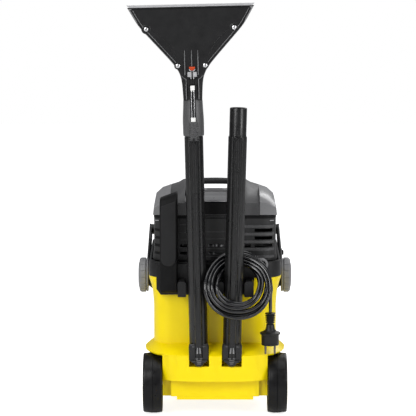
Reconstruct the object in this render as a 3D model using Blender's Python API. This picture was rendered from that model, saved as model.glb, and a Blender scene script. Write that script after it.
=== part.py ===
"""Spray-extraction carpet cleaner, standing on its wheels with its suction tubes and power cord stowed.

+Z is up, -Y is the rear, where the tubes, the floor nozzle and the cord are stowed, and +X is the
right-hand side seen from the rear.  Sizes below are in millimetres and each mesh is scaled to metres
once, when it is made.  Everything hangs on the empty "machine", which puts the middle of the resting
machine's box on the origin.
"""

import math

import bmesh
import bpy
from mathutils import Matrix, Vector

MM = 0.001
GAP = 0.3

# Where the machine's own centre plane and knob axis lie in the finished frame.
MACHINE_X = 7.407
MACHINE_Y = -16.657

# Running gear
WHEEL_RADIUS = 63.0
WHEEL_INNER_X = 109.0
WHEEL_OUTER_X = 149.0
AXLE_Y = -140.0
AXLE_RADIUS = 5.0
CASTER_X = 86.0
CASTER_Y = 134.0
CASTER_RADIUS = 15.0
CASTER_WIDTH = 14.0
CASTER_TRAIL = 11.0
CASTER_TOP_Z = 49.5

# Yellow tank
TANK_BOTTOM_Z = 35.0
TANK_FRONT_BOTTOM_Z = 50.0
TANK_FRONT_RAISED_Y = 102.0
TANK_RIM_Z = 284.0
TANK_HALF_X = 127.5
TANK_RIM_HALF_X = 138.0
TANK_REAR_Y = -142.0
TANK_FRONT_Y = 190.0
TANK_WALL = 3.0
SKIRT_Z = 42.0
STEP_Z = 78.0
LEDGE_Z = 128.5
LEDGE_TOP_Z = 146.0
LEDGE_HALF_X = 146.0
LEDGE_REAR_Y = -205.0
LEDGE_CENTRE_Y = -90.0
LEDGE_POWER = 2.8

# Head
BAND_TOP_Z = 317.0
HOUSING_TOP_Z = 411.7
HOUSING_REAR_Y = -122.0
HOUSING_WALL = 3.0
LOUVRE_Z = (380.0, 364.0, 348.0, 332.0)
LOUVRE_HEIGHT = 7.0
COVER_BASE_Z = 412.0
COVER_HALF_X = 92.0
CROWN_Z = 468.0
RECESS_HALF_X = 62.5
FLANK_OUTER_X = 128.3
APRON_REAR_Y = -149.5
APRON_BOTTOM_Z = 250.0

# Carrying bow
PIVOT_Z = 266.0
BOW_REACH = 240.0
BOW_LEAN = math.radians(74.7)
BOW_INNER_X = 141.0
BOW_OUTER_X = 145.5
KNOB_INNER_X = 146.0
KNOB_OUTER_X = 163.0
KNOB_RADIUS = 37.0
BOW_BUTTON_REACH = 114.0

# Suction tubes and floor nozzle
TUBE_RADIUS = 19.0
TUBE_BORE = 16.5
TUBE_SOCKET = 17.8
TUBE_MALE = 17.5
TUBE_SHOULDER = 471.0
TUBE_LENGTH = 529.0
TUBE_Y = -185.0
TUBE_FOOT_Z = 111.0
LEFT_TUBE_X = -32.6
LEFT_TUBE_LEAN = math.radians(-1.3)
RIGHT_TUBE_X = 33.7
RIGHT_TUBE_LEAN = math.radians(1.45)
RIDGE_Y = -23.0
RIDGE_HALF_X = 7.5
NECK_W = 545.0
MOUTH_W = 733.0
MOUTH_HALF_X = 128.5

# Power cord
CORD_DIAMETER = 7.0
GLAND_X = 95.8
GLAND_Z = 312.5
COIL_X = 46.0
COIL_Z = 279.0
COIL_RADIUS_X = 56.0
COIL_RADIUS_Z = 50.0
COIL_HALF_WIDTH = 14.0
COIL_HALF_DEPTH = 7.0
COIL_BEHIND_Y = -157.0
COIL_FRONT_Y = -220.0
PLUG_X = 112.8
PLUG_Y = -192.0
PLUG_TOP_Z = 220.5


# ---------------------------------------------------------------- building blocks

for old in list(bpy.data.objects):
    bpy.data.objects.remove(old, do_unlink=True)

MACHINE = bpy.data.objects.new("machine", None)
MACHINE.location = (MACHINE_X * MM, MACHINE_Y * MM, 0.0)
bpy.context.collection.objects.link(MACHINE)


def material(name, colour, roughness, metallic=0.0):
    """A Principled material of one colour, roughness and metallic value."""
    made = bpy.data.materials.new(name)
    made.use_nodes = True
    shader = made.node_tree.nodes["Principled BSDF"]
    shader.inputs["Base Color"].default_value = (*colour, 1.0)
    shader.inputs["Roughness"].default_value = roughness
    shader.inputs["Metallic"].default_value = metallic
    return made


def node(name, bm, finish, parent=None, origin=(0.0, 0.0, 0.0)):
    """Turn a millimetre bmesh into a named object whose own origin lies at the given point."""
    bmesh.ops.recalc_face_normals(bm, faces=bm.faces)
    bmesh.ops.translate(bm, verts=bm.verts, vec=-Vector(origin))
    bmesh.ops.scale(bm, verts=bm.verts, vec=(MM, MM, MM))
    mesh = bpy.data.meshes.new(name)
    bm.to_mesh(mesh)
    bm.free()
    mesh.materials.append(finish)
    mesh.shade_smooth()
    mesh.set_sharp_from_angle(angle=math.radians(32.0))
    made = bpy.data.objects.new(name, mesh)
    bpy.context.collection.objects.link(made)
    made.parent = parent or MACHINE
    made.location = Vector(origin) * MM
    return made


def helper(bm, parent=None):
    """A hidden operand for a Boolean."""
    made = node("operand", bm, OPERAND, parent)
    made.hide_render = True
    made.display_type = "WIRE"
    return made


def combine(target, bm, operation, parent=None):
    """Cut, join or intersect a target with a millimetre bmesh, exactly."""
    step = target.modifiers.new(operation.lower(), "BOOLEAN")
    step.operation = operation
    step.solver = "EXACT"
    step.object = helper(bm, parent)


def cut(target, bm, parent=None):
    combine(target, bm, "DIFFERENCE", parent)


def join(target, bm, parent=None):
    combine(target, bm, "UNION", parent)


def loft(sections):
    """A closed skin through rings of points that all have the same count, with flat end caps."""
    bm = bmesh.new()
    rings = [[bm.verts.new(point) for point in ring] for ring in sections]
    for low, high in zip(rings, rings[1:]):
        for i in range(len(low)):
            j = (i + 1) % len(low)
            bm.faces.new((low[i], low[j], high[j], high[i]))
    bm.faces.new(rings[0])
    bm.faces.new(rings[-1])
    return bm


def prism(outline, axis, start, end):
    """A flat outline carried along X, Y or Z.  The outline gives the other two coordinates in order."""
    return loft([spread(outline, axis, at) for at in (start, end)])


def spread(outline, axis, at):
    """An outline's points in space, on the plane where the named axis has the given value."""
    slot = "XYZ".index(axis)
    return [(*point[:slot], at, *point[slot:]) for point in outline]


def block(x0, x1, y0, y1, z0, z1):
    """A plain box between two corners."""
    return prism([(x0, y0), (x1, y0), (x1, y1), (x0, y1)], "Z", z0, z1)


def rounded_rect(half_x, rear, front, radius, steps=4):
    """A plan outline symmetric about X = 0 with four rounded corners."""
    outline = []
    corners = (
        (half_x - radius, front - radius, 0.0),
        (radius - half_x, front - radius, 90.0),
        (radius - half_x, rear + radius, 180.0),
        (half_x - radius, rear + radius, 270.0),
    )
    for x, y, first in corners:
        for step in range(steps + 1):
            angle = math.radians(first + 90.0 * step / steps)
            outline.append((x + radius * math.cos(angle), y + radius * math.sin(angle)))
    return outline


def stack(levels, inset=0.0):
    """Rounded plan outlines at several heights: (z, half width, rear, front, corner radius)."""
    return loft(
        [
            spread(rounded_rect(half - inset, rear + inset, front - inset, radius - inset), "Z", z)
            for z, half, rear, front, radius in levels
        ]
    )


def turned(profile, axis, centre, steps=24, closed=False):
    """A profile of (radius, place along the axis) spun round an axis through the centre."""
    bm = bmesh.new()
    verts = [bm.verts.new((radius, 0.0, along)) for radius, along in profile]
    pairs = list(zip(verts, verts[1:]))
    if closed:
        pairs.append((verts[-1], verts[0]))
    edges = [bm.edges.new(pair) for pair in pairs]
    bmesh.ops.spin(
        bm,
        geom=verts + edges,
        cent=(0.0, 0.0, 0.0),
        axis=(0.0, 0.0, 1.0),
        angle=2.0 * math.pi,
        steps=steps,
        use_merge=True,
    )
    bmesh.ops.remove_doubles(bm, verts=bm.verts, dist=0.001)
    turn = {
        "X": Matrix.Rotation(math.radians(90.0), 4, "Y"),
        "Y": Matrix.Rotation(math.radians(-90.0), 4, "X"),
        "Z": Matrix.Identity(4),
    }[axis]
    bmesh.ops.transform(bm, verts=bm.verts, matrix=Matrix.Translation(centre) @ turn)
    return bm


def rod(radius, axis, centre, start, end, steps=16):
    """A solid cylinder between two places along an axis."""
    return turned([(0.0, start), (radius, start), (radius, end), (0.0, end)], axis, centre, steps)


def pipe(outer, inner, axis, centre, start, end, steps=24):
    """A straight pipe, open at both ends."""
    profile = [(inner, start), (outer, start), (outer, end), (inner, end)]
    return turned(profile, axis, centre, steps, closed=True)


def link_outline(centre_a, radius_a, centre_b, radius_b, steps=8):
    """The outline of two discs and the straight flanks that touch them both."""
    ax, ay = centre_a
    bx, by = centre_b
    heading = math.atan2(by - ay, bx - ax)
    spread_angle = math.acos((radius_a - radius_b) / math.hypot(bx - ax, by - ay))
    outline = []
    for step in range(steps + 1):
        angle = heading + spread_angle + (2.0 * math.pi - 2.0 * spread_angle) * step / steps
        outline.append((ax + radius_a * math.cos(angle), ay + radius_a * math.sin(angle)))
    for step in range(steps + 1):
        angle = heading - spread_angle + 2.0 * spread_angle * step / steps
        outline.append((bx + radius_b * math.cos(angle), by + radius_b * math.sin(angle)))
    return outline


def bevel(target, width, segments=2, angle=40.0):
    """Round a target's sharp edges."""
    step = target.modifiers.new("bevel", "BEVEL")
    step.width = width * MM
    step.segments = segments
    step.limit_method = "ANGLE"
    step.angle_limit = math.radians(angle)


def sides():
    """The two sides of the machine, as a name and the sign of X."""
    return (("left", -1.0), ("right", 1.0))


def mirrored(outline, sign):
    """An outline whose first coordinate is X, put on one side of the machine."""
    return [(sign * x, along) for x, along in outline]


OPERAND = material("operand", (0.5, 0.5, 0.5), 0.5)
YELLOW = material("tank_yellow", (0.92, 0.74, 0.01), 0.35)
BLACK = material("matte_black", (0.018, 0.018, 0.019), 0.5)
TEXTURED = material("grained_grey", (0.07, 0.07, 0.072), 0.6)
SILVER = material("flank_grey", (0.20, 0.20, 0.205), 0.4)
GREY = material("knob_grey", (0.16, 0.16, 0.165), 0.5)
LIGHT = material("lip_grey", (0.42, 0.42, 0.42), 0.4)
STEEL = material("steel", (0.55, 0.55, 0.56), 0.3, 1.0)
WHITE = material("white_fitting", (0.85, 0.85, 0.83), 0.4)
ORANGE = material("jet_orange", (0.75, 0.12, 0.02), 0.4)
RUBBER = material("tyre_black", (0.02, 0.02, 0.02), 0.7)
CORD = material("cord_black", (0.015, 0.015, 0.016), 0.45)


# ---------------------------------------------------------------- tank and running gear

TANK_LEVELS = (
    (LEDGE_Z, TANK_HALF_X, TANK_REAR_Y, TANK_FRONT_Y, 40.0),
    (222.0, TANK_HALF_X, TANK_REAR_Y, 192.0, 40.0),
    (250.0, 129.5, TANK_REAR_Y, 193.0, 40.0),
    (266.0, 133.0, TANK_REAR_Y, 195.0, 40.0),
    (278.0, 137.0, TANK_REAR_Y, 196.5, 40.0),
    (TANK_RIM_Z, TANK_RIM_HALF_X, TANK_REAR_Y, 197.0, 40.0),
)
BELLY_REAR_Y = -73.0
BELLY_LEVELS = (
    (TANK_BOTTOM_Z, 119.0, BELLY_REAR_Y, 182.0, 36.0),
    (60.0, 124.0, BELLY_REAR_Y, 187.0, 38.0),
    (LEDGE_Z + 8.0, TANK_HALF_X, BELLY_REAR_Y, TANK_FRONT_Y, 40.0),
)
APRON_WALL_X = 108.2
APRON_FRONT_Y = -60.0
SKIRT_REAR_Y = -178.0
SKIRT_HALF_X = 91.0


def ledge_outline(half_x, rear, front=-30.0, steps=28):
    """A D-shaped plan: a superellipse about the ledge's middle, flatter towards the front."""
    outline = []
    for step in range(steps):
        angle = 2.0 * math.pi * step / steps
        c, s = math.cos(angle), math.sin(angle)
        reach = (front - LEDGE_CENTRE_Y) if s > 0.0 else (LEDGE_CENTRE_Y - rear)
        x = half_x * math.copysign(abs(c) ** (2.0 / LEDGE_POWER), c)
        y = LEDGE_CENTRE_Y + reach * math.copysign(abs(s) ** (2.0 / LEDGE_POWER), s)
        outline.append((x, y))
    return outline


def apron_outline(half_x, inset, steps=14):
    """The rear of the ledge's plan, drawn in a little and cut off straight at its sides and in front."""
    reach = LEDGE_CENTRE_Y - LEDGE_REAR_Y - inset
    outline = [(half_x, APRON_FRONT_Y), (-half_x, APRON_FRONT_Y)]
    for step in range(steps + 1):
        x = half_x * (-1.0 + 2.0 * step / steps)
        share = 1.0 - abs(x / LEDGE_HALF_X) ** LEDGE_POWER
        outline.append((x, LEDGE_CENTRE_Y - reach * share ** (1.0 / LEDGE_POWER)))
    return outline


def raised_front(z_low, z_high):
    """The wedge that lifts the tank's underside over the casters, with room below it."""
    front = TANK_FRONT_Y + 20.0
    slope_y = TANK_FRONT_RAISED_Y - 8.0
    below = z_low - 20.0
    outline = [(slope_y, below), (slope_y, z_low), (TANK_FRONT_RAISED_Y, z_high), (front, z_high), (front, below)]
    return prism(outline, "X", -170.0, 170.0)


def make_tank():
    tank = node("tank_shell", stack(TANK_LEVELS), YELLOW)
    belly = stack(BELLY_LEVELS)
    join(tank, belly)
    apron = loft(
        [
            spread(apron_outline(APRON_WALL_X - 0.4, 4.0), "Z", STEP_Z),
            spread(apron_outline(APRON_WALL_X, 0.4), "Z", LEDGE_Z + 3.2),
        ]
    )
    join(tank, apron)
    join(tank, block(-APRON_WALL_X, APRON_WALL_X, SKIRT_REAR_Y + 7.0, APRON_FRONT_Y, SKIRT_Z, STEP_Z + 3.0))
    join(tank, block(-SKIRT_HALF_X, SKIRT_HALF_X, SKIRT_REAR_Y, APRON_FRONT_Y, SKIRT_Z, STEP_Z + 4.0))
    join(tank, block(-79.0, 79.0, SKIRT_REAR_Y + 1.0, APRON_FRONT_Y, TANK_BOTTOM_Z, SKIRT_Z + 3.0))
    ledge = loft(
        [
            spread(ledge_outline(LEDGE_HALF_X - 3.0, LEDGE_REAR_Y + 2.0), "Z", LEDGE_Z),
            spread(ledge_outline(LEDGE_HALF_X, LEDGE_REAR_Y), "Z", LEDGE_Z + 3.5),
            spread(ledge_outline(LEDGE_HALF_X - 6.0, LEDGE_REAR_Y + 12.0), "Z", LEDGE_Z + 8.5),
            spread(ledge_outline(TANK_HALF_X + 1.5, TANK_REAR_Y - 10.0), "Z", LEDGE_TOP_Z),
        ]
    )
    join(tank, ledge)

    cavity = [(z, half, rear, front, radius) for z, half, rear, front, radius in TANK_LEVELS[1:]]
    cavity.insert(0, (LEDGE_TOP_Z + 1.0, TANK_HALF_X, TANK_REAR_Y, TANK_FRONT_Y, 40.0))
    cavity.append((TANK_RIM_Z + 8.0, TANK_RIM_HALF_X, TANK_REAR_Y, 197.0, 40.0))
    cut(tank, stack(cavity, TANK_WALL))
    belly_cavity = (
        (TANK_BOTTOM_Z + TANK_WALL, 119.0, BELLY_REAR_Y, 182.0, 36.0),
        (60.0, 124.0, BELLY_REAR_Y, 187.0, 38.0),
        (LEDGE_TOP_Z + 4.0, TANK_HALF_X, BELLY_REAR_Y, TANK_FRONT_Y, 40.0),
    )
    hollow = stack(belly_cavity, TANK_WALL)
    cutter = helper(hollow)
    trim = cutter.modifiers.new("floor", "BOOLEAN")
    trim.operation = "DIFFERENCE"
    trim.solver = "EXACT"
    trim.object = helper(raised_front(TANK_BOTTOM_Z + TANK_WALL, TANK_FRONT_BOTTOM_Z + TANK_WALL))
    step = tank.modifiers.new("belly", "BOOLEAN")
    step.operation = "DIFFERENCE"
    step.solver = "EXACT"
    step.object = cutter
    cut(tank, raised_front(TANK_BOTTOM_Z, TANK_FRONT_BOTTOM_Z))
    cut(tank, block(-103.0, 103.0, -157.0, -62.0, STEP_Z + 5.0, LEDGE_Z - 4.0))
    cut(tank, block(-102.0, 102.0, TANK_REAR_Y + TANK_WALL, -62.0, LEDGE_Z - 8.0, LEDGE_TOP_Z + 3.0))
    inner_x = SKIRT_HALF_X - TANK_WALL
    cut(tank, block(-inner_x, inner_x, SKIRT_REAR_Y + 4.0, -64.0, TANK_BOTTOM_Z - 10.0, STEP_Z - 3.0))
    cut(tank, rod(AXLE_RADIUS + 0.8, "X", (0.0, AXLE_Y, WHEEL_RADIUS), -130.0, 130.0))
    for x, lean in ((LEFT_TUBE_X, LEFT_TUBE_LEAN), (RIGHT_TUBE_X, RIGHT_TUBE_LEAN)):
        frame = tube_frame("pocket_axis", x, lean)
        cut(tank, prism(pocket_outline(TUBE_RADIUS + 1.5), "Z", -1.5, 60.0), frame)
    return tank


def pocket_outline(radius, steps=10):
    """A U-shaped plan that cradles a tube and is open to the rear."""
    outline = [(-radius, -40.0), (radius, -40.0)]
    for step in range(steps + 1):
        angle = math.pi * step / steps
        outline.append((radius * math.cos(angle), radius * math.sin(angle)))
    return outline


def tube_frame(name, x, lean):
    """An empty at a tube's foot, turned so that its own Z runs up the tube."""
    frame = bpy.data.objects.new(name, None)
    bpy.context.collection.objects.link(frame)
    frame.parent = MACHINE
    frame.location = Vector((x, TUBE_Y, TUBE_FOOT_Z)) * MM
    frame.rotation_euler = (0.0, lean, 0.0)
    return frame


def make_rear_wheels():
    hub = (0.0, AXLE_Y, WHEEL_RADIUS)
    node("rear_axle", rod(AXLE_RADIUS, "X", hub, -143.5, 143.5), STEEL, origin=hub)
    tread = [
        (AXLE_RADIUS + 0.6, WHEEL_INNER_X + 2.0),
        (30.0, WHEEL_INNER_X + 2.0),
        (34.0, WHEEL_INNER_X),
        (57.0, WHEEL_INNER_X),
        (61.5, WHEEL_INNER_X + 2.5),
        (WHEEL_RADIUS, WHEEL_INNER_X + 7.0),
        (WHEEL_RADIUS, WHEEL_OUTER_X - 12.0),
        (61.5, WHEEL_OUTER_X - 5.0),
        (58.0, WHEEL_OUTER_X - 1.0),
        (54.0, WHEEL_OUTER_X),
        (36.0, WHEEL_OUTER_X),
        (30.0, WHEEL_OUTER_X - 5.0),
        (AXLE_RADIUS + 0.6, WHEEL_OUTER_X - 5.0),
    ]
    cap = [
        (0.0, WHEEL_OUTER_X - 4.7),
        (28.0, WHEEL_OUTER_X - 4.7),
        (28.0, WHEEL_OUTER_X - 3.0),
        (23.0, WHEEL_OUTER_X - 0.5),
        (0.0, WHEEL_OUTER_X + 1.5),
    ]
    for side, sign in sides():
        wheel = [(radius, sign * x) for radius, x in tread]
        dome = [(radius, sign * x) for radius, x in cap]
        node("rear_wheel_" + side, turned(wheel, "X", hub, 28, closed=True), RUBBER, origin=hub)
        node("wheel_cap_" + side, turned(dome, "X", hub, 20), GREY, origin=hub)


def make_casters():
    half = CASTER_WIDTH / 2.0
    for side, sign in sides():
        x = sign * CASTER_X
        pivot = (x, CASTER_Y, 0.0)
        wheel_at = (x, CASTER_Y - CASTER_TRAIL, CASTER_RADIUS)
        fork = node(
            "caster_fork_" + side,
            rod(14.0, "Z", pivot, CASTER_TOP_Z - 6.0, CASTER_TOP_Z, 20),
            BLACK,
            origin=pivot,
        )
        bridge = block(x - half - 4.5, x + half + 4.5, CASTER_Y - 20.0, CASTER_Y + 5.0, 38.0, CASTER_TOP_Z - 3.0)
        join(fork, bridge)
        for cheek in (-1.0, 1.0):
            outline = link_outline((wheel_at[1], wheel_at[2]), 6.0, (CASTER_Y - 6.0, 40.0), 4.0, 5)
            near = x + cheek * (half + 1.0)
            far = x + cheek * (half + 4.5)
            join(fork, prism(outline, "X", min(near, far), max(near, far)))
        pin = rod(2.6, "X", (0.0, wheel_at[1], wheel_at[2]), x - half - 3.0, x + half + 3.0, 12)
        join(fork, pin)
        tread = [
            (3.2, -half),
            (CASTER_RADIUS - 1.5, -half),
            (CASTER_RADIUS, 1.5 - half),
            (CASTER_RADIUS, half - 1.5),
            (CASTER_RADIUS - 1.5, half),
            (3.2, half),
        ]
        node("caster_wheel_" + side, turned(tread, "X", wheel_at, 20, closed=True), RUBBER, origin=wheel_at)


def make_dirty_water_tank():
    levels = (
        (TANK_FRONT_BOTTOM_Z + TANK_WALL + 1.0, 104.0, -58.0, 160.0, 28.0),
        (90.0, 110.0, -62.0, 166.0, 30.0),
        (266.0, 113.0, -64.0, 170.0, 32.0),
    )
    wall = 2.5
    container = node("dirty_water_tank", stack(levels), LIGHT)
    inside = [(z + wall, half, rear, front, radius) for z, half, rear, front, radius in levels]
    cut(container, stack(inside, wall))


# ---------------------------------------------------------------- head

HEAD_FRONT_Y = 195.0
BAND_LEVELS = (
    (TANK_RIM_Z + GAP, TANK_RIM_HALF_X, TANK_REAR_Y, 197.0, 40.0),
    (300.0, 138.5, TANK_REAR_Y, 197.5, 40.0),
    (BAND_TOP_Z, 136.5, TANK_REAR_Y + 1.0, HEAD_FRONT_Y, 39.0),
)
HOUSING_LEVELS = (
    (BAND_TOP_Z + GAP, 130.0, HOUSING_REAR_Y, 183.0, 30.0),
    (340.0, 127.0, HOUSING_REAR_Y, 182.0, 28.0),
    (385.0, 126.5, HOUSING_REAR_Y, 173.0, 27.0),
    (HOUSING_TOP_Z, 127.0, HOUSING_REAR_Y, 151.0, 26.0),
)
SUCTION_AXIS = (-45.0, 142.0, 0.0)
FLOAT_AXIS = (0.0, 20.0, 0.0)
PORT_Z = 301.0
PLATE_LOW_Z = 297.0
PLATE_HIGH_Z = 303.0


def make_head_base():
    base = node("head_base", stack(BAND_LEVELS), BLACK)
    wall = 4.0
    under = ((TANK_RIM_Z - 6.0, TANK_RIM_HALF_X, TANK_REAR_Y, 197.0, 40.0), (PLATE_LOW_Z, 138.0, TANK_REAR_Y, 197.0, 40.0))
    above = ((PLATE_HIGH_Z, 137.5, TANK_REAR_Y, 196.0, 40.0), (BAND_TOP_Z + 6.0, 136.0, TANK_REAR_Y + 1.0, 194.0, 39.0))
    cut(base, stack(under, wall))
    cut(base, stack(above, wall))
    for axis, radius in ((SUCTION_AXIS, 14.0), (FLOAT_AXIS, 15.0)):
        cut(base, rod(radius, "Z", axis, PLATE_LOW_Z - 5.0, PLATE_HIGH_Z + 5.0, 20))
    cut(base, rod(14.0, "Y", (SUCTION_AXIS[0], 0.0, PORT_Z), 185.0, 205.0, 20))


def make_motor_housing():
    housing = node("motor_housing", stack(HOUSING_LEVELS), TEXTURED)
    inner = [list(level) for level in HOUSING_LEVELS]
    inner[0][0] -= 5.0
    inner[-1][0] += 5.0
    cut(housing, stack([tuple(level) for level in inner], HOUSING_WALL))
    half = LOUVRE_HEIGHT / 2.0
    rear = HOUSING_REAR_Y - 6.0
    for z in LOUVRE_Z[:3]:
        cut(housing, block(82.0, 119.0, rear, rear + 26.0, z - half, z + half))
    for z in LOUVRE_Z[2:]:
        for x0, x1 in ((-72.0, -22.0), (-14.0, 18.0), (26.0, 74.0)):
            cut(housing, block(x0, x1, rear, rear + 14.0, z - half, z + half))
    for z in LOUVRE_Z:
        cut(housing, block(-150.0, 150.0, -60.0, 70.0, z - half, z + half))


SWITCH_X = (-26.0, 26.0)
SWITCH_Y = 96.0
SWITCH_RADIUS = 11.0
RECESS_FLOOR = [(-128.0, 440.6), (-100.0, 442.6), (-64.0, 442.6), (-50.0, 425.0), (46.0, 425.0), (62.0, 434.5)]


def cover_profile(crown, base=COVER_BASE_Z):
    """The side view of the top cover, from its rear foot over the crown to its front foot."""
    return [
        (HOUSING_REAR_Y, base),
        (HOUSING_REAR_Y + 1.0, 437.0),
        (-108.0, 443.0),
        (-60.0, crown - 7.0),
        (-20.0, crown),
        (36.0, crown),
        (62.0, crown - 9.0),
        (76.0, 438.0),
        (114.0, 438.0),
        (146.0, 421.0),
        (151.0, base),
    ]


def make_top_cover():
    crowns = ((92.0, 457.0), (76.0, 462.0), (66.0, CROWN_Z), (0.0, CROWN_Z))
    stations = [(-x, crown) for x, crown in crowns] + [(x, crown) for x, crown in reversed(crowns[:3])]
    cover = node("top_cover", loft([spread(cover_profile(crown), "X", x) for x, crown in stations]), TEXTURED)
    lining = [
        (-118.0, COVER_BASE_Z - 6.0),
        (-118.0, 434.5),
        (-106.0, 439.5),
        (-60.0, 446.0),
        (58.0, 446.0),
        (72.0, 434.0),
        (112.0, 434.0),
        (142.0, 418.0),
        (147.0, COVER_BASE_Z - 6.0),
    ]
    cut(cover, prism(lining, "X", -COVER_HALF_X + 4.0, COVER_HALF_X - 4.0))
    cut(cover, prism(recess_outline(), "X", -RECESS_HALF_X, RECESS_HALF_X))
    for x in SWITCH_X:
        cut(cover, rod(SWITCH_RADIUS + 0.5, "Z", (x, SWITCH_Y, 0.0), 422.0, 470.0, 20))


def recess_outline():
    """The finger recess under the handle, open upwards and to the rear."""
    return RECESS_FLOOR + [(72.0, 438.0), (76.0, 438.3), (76.0, 490.0), (-128.0, 490.0)]


def make_recess_panel():
    """A thin tray that lines the finger recess."""
    thickness = 2.2
    floor = [(y, z + GAP) for y, z in RECESS_FLOOR]
    floor[0] = (HOUSING_REAR_Y - 0.5, floor[0][1] + 0.6)
    top = [(y, z + thickness) for y, z in reversed(floor)]
    top[2] = (top[2][0] + 1.5, top[2][1])
    top[1] = (top[1][0] - 1.5, top[1][1])
    node("recess_panel", prism(floor + top, "X", GAP - RECESS_HALF_X, RECESS_HALF_X - GAP), SILVER)


def make_carry_handle():
    half = RECESS_HALF_X - GAP
    steps = 8
    top = []
    under = []
    for step in range(steps + 1):
        x = -half + 2.0 * half * step / steps
        fall = (x / half) ** 2
        top.append((x, 474.0 - 3.5 * fall))
        under.append((x, 462.8 - 1.5 * fall))
    handle = node("carry_handle", prism(top + under[::-1], "Y", -14.0, 14.0), BLACK)
    bevel(handle, 4.0)


def make_flanks():
    outer = [
        (COVER_HALF_X + GAP, 412.3),
        (FLANK_OUTER_X, 412.3),
        (127.4, 426.0),
        (125.0, 438.0),
        (111.0, 450.5),
        (COVER_HALF_X + GAP, 457.0),
    ]
    inner = [(95.8, 400.0), (124.5, 400.0), (123.6, 425.0), (121.4, 435.0), (109.0, 446.0), (95.8, 451.0)]
    stations = ((-122.0, 0.62), (-110.0, 0.84), (-60.0, 1.0), (36.0, 1.0), (70.0, 0.84), (114.0, 0.58), (151.0, 0.16))
    hollow = ((-117.0, 0.62), (-106.0, 0.82), (-60.0, 1.0), (36.0, 1.0), (68.0, 0.82), (110.0, 0.54), (146.0, 0.1))

    def section(outline, y, scale, sign):
        base = outline[0][1]
        return [(sign * x, y, 412.3 + (z - 412.3) * scale if z > 412.3 else base) for x, z in outline]

    for side, sign in sides():
        skin = loft([section(outer, y, scale, sign) for y, scale in stations])
        flank = node("flank_" + side, skin, SILVER)
        cut(flank, loft([section(inner, y, scale, sign) for y, scale in hollow]))


def make_duct_cover():
    """The tall box on the left of the rear, which stands on the apron and runs up past the cover."""
    back = HOUSING_REAR_Y - GAP

    def section(x, top):
        return [
            (x, -167.0, 262.0),
            (x, -162.0, 255.5),
            (x, APRON_REAR_Y - GAP, 255.5),
            (x, APRON_REAR_Y - GAP, BAND_TOP_Z + 0.6),
            (x, back, BAND_TOP_Z + 0.6),
            (x, back, top - 4.0),
            (x, -132.0, top),
            (x, -158.0, top - 2.0),
            (x, -167.0, top - 14.0),
        ]

    duct = node("duct_cover", loft([section(-113.5, 450.0), section(-77.0, 464.0)]), BLACK)
    bevel(duct, 2.0, 1)


def make_tube_holder():
    plate = [(-121.0, 314.0), (-121.0, 262.0), (-112.0, APRON_BOTTOM_Z), (79.0, APRON_BOTTOM_Z), (81.0, 284.0), (81.0, 314.0)]
    back = TANK_REAR_Y - GAP
    holder = node("tube_holder", prism(plate, "Y", APRON_REAR_Y, back), BLACK)
    for x0, x1 in ((-76.6, -59.5), (-15.8, -5.5), (5.5, 17.3), (60.0, 79.0)):
        left = [(x0, 252.0), (x0, 279.0), (x0 + 1.2, 282.0), (x0 + 4.0, 284.0)]
        right = [(x1 - 4.0, 284.0), (x1 - 1.2, 282.0), (x1, 279.0), (x1, 252.0)]
        lug = left + right
        join(holder, prism(lug, "Y", -188.0, -147.0))


def make_cable_fittings():
    back = TANK_REAR_Y - GAP
    ring = pipe(13.5, 9.0, "Y", (GLAND_X, 0.0, GLAND_Z), back - 7.5, back)
    node("cable_gland", ring, SILVER)
    hook = [(-163.5, 298.0), (-163.5, 309.5), (-160.0, 311.0), (APRON_REAR_Y - GAP, 310.0), (APRON_REAR_Y - GAP, 294.0)]
    node("cable_hook", prism(hook, "X", 34.0, 56.0), BLACK)


def make_front_ports():
    front = 197.8
    node("inlet_socket", pipe(21.0, 16.0, "Y", (SUCTION_AXIS[0], 0.0, PORT_Z), front, front + 14.0), BLACK)
    node("spray_coupling", pipe(8.0, 3.6, "Y", (45.0, 0.0, PORT_Z), front, front + 12.0, 16), GREY)


def make_switches():
    for name, x, finish in (("suction_switch", SWITCH_X[0], GREY), ("spray_switch", SWITCH_X[1], GREY)):
        at = (x, SWITCH_Y, 442.0)
        profile = [(0.0, 429.0), (SWITCH_RADIUS, 429.0), (SWITCH_RADIUS, 441.0), (SWITCH_RADIUS - 1.5, 442.5), (0.0, 442.5)]
        node(name, turned(profile, "Z", (x, SWITCH_Y, 0.0), 20), finish, origin=at)


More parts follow.
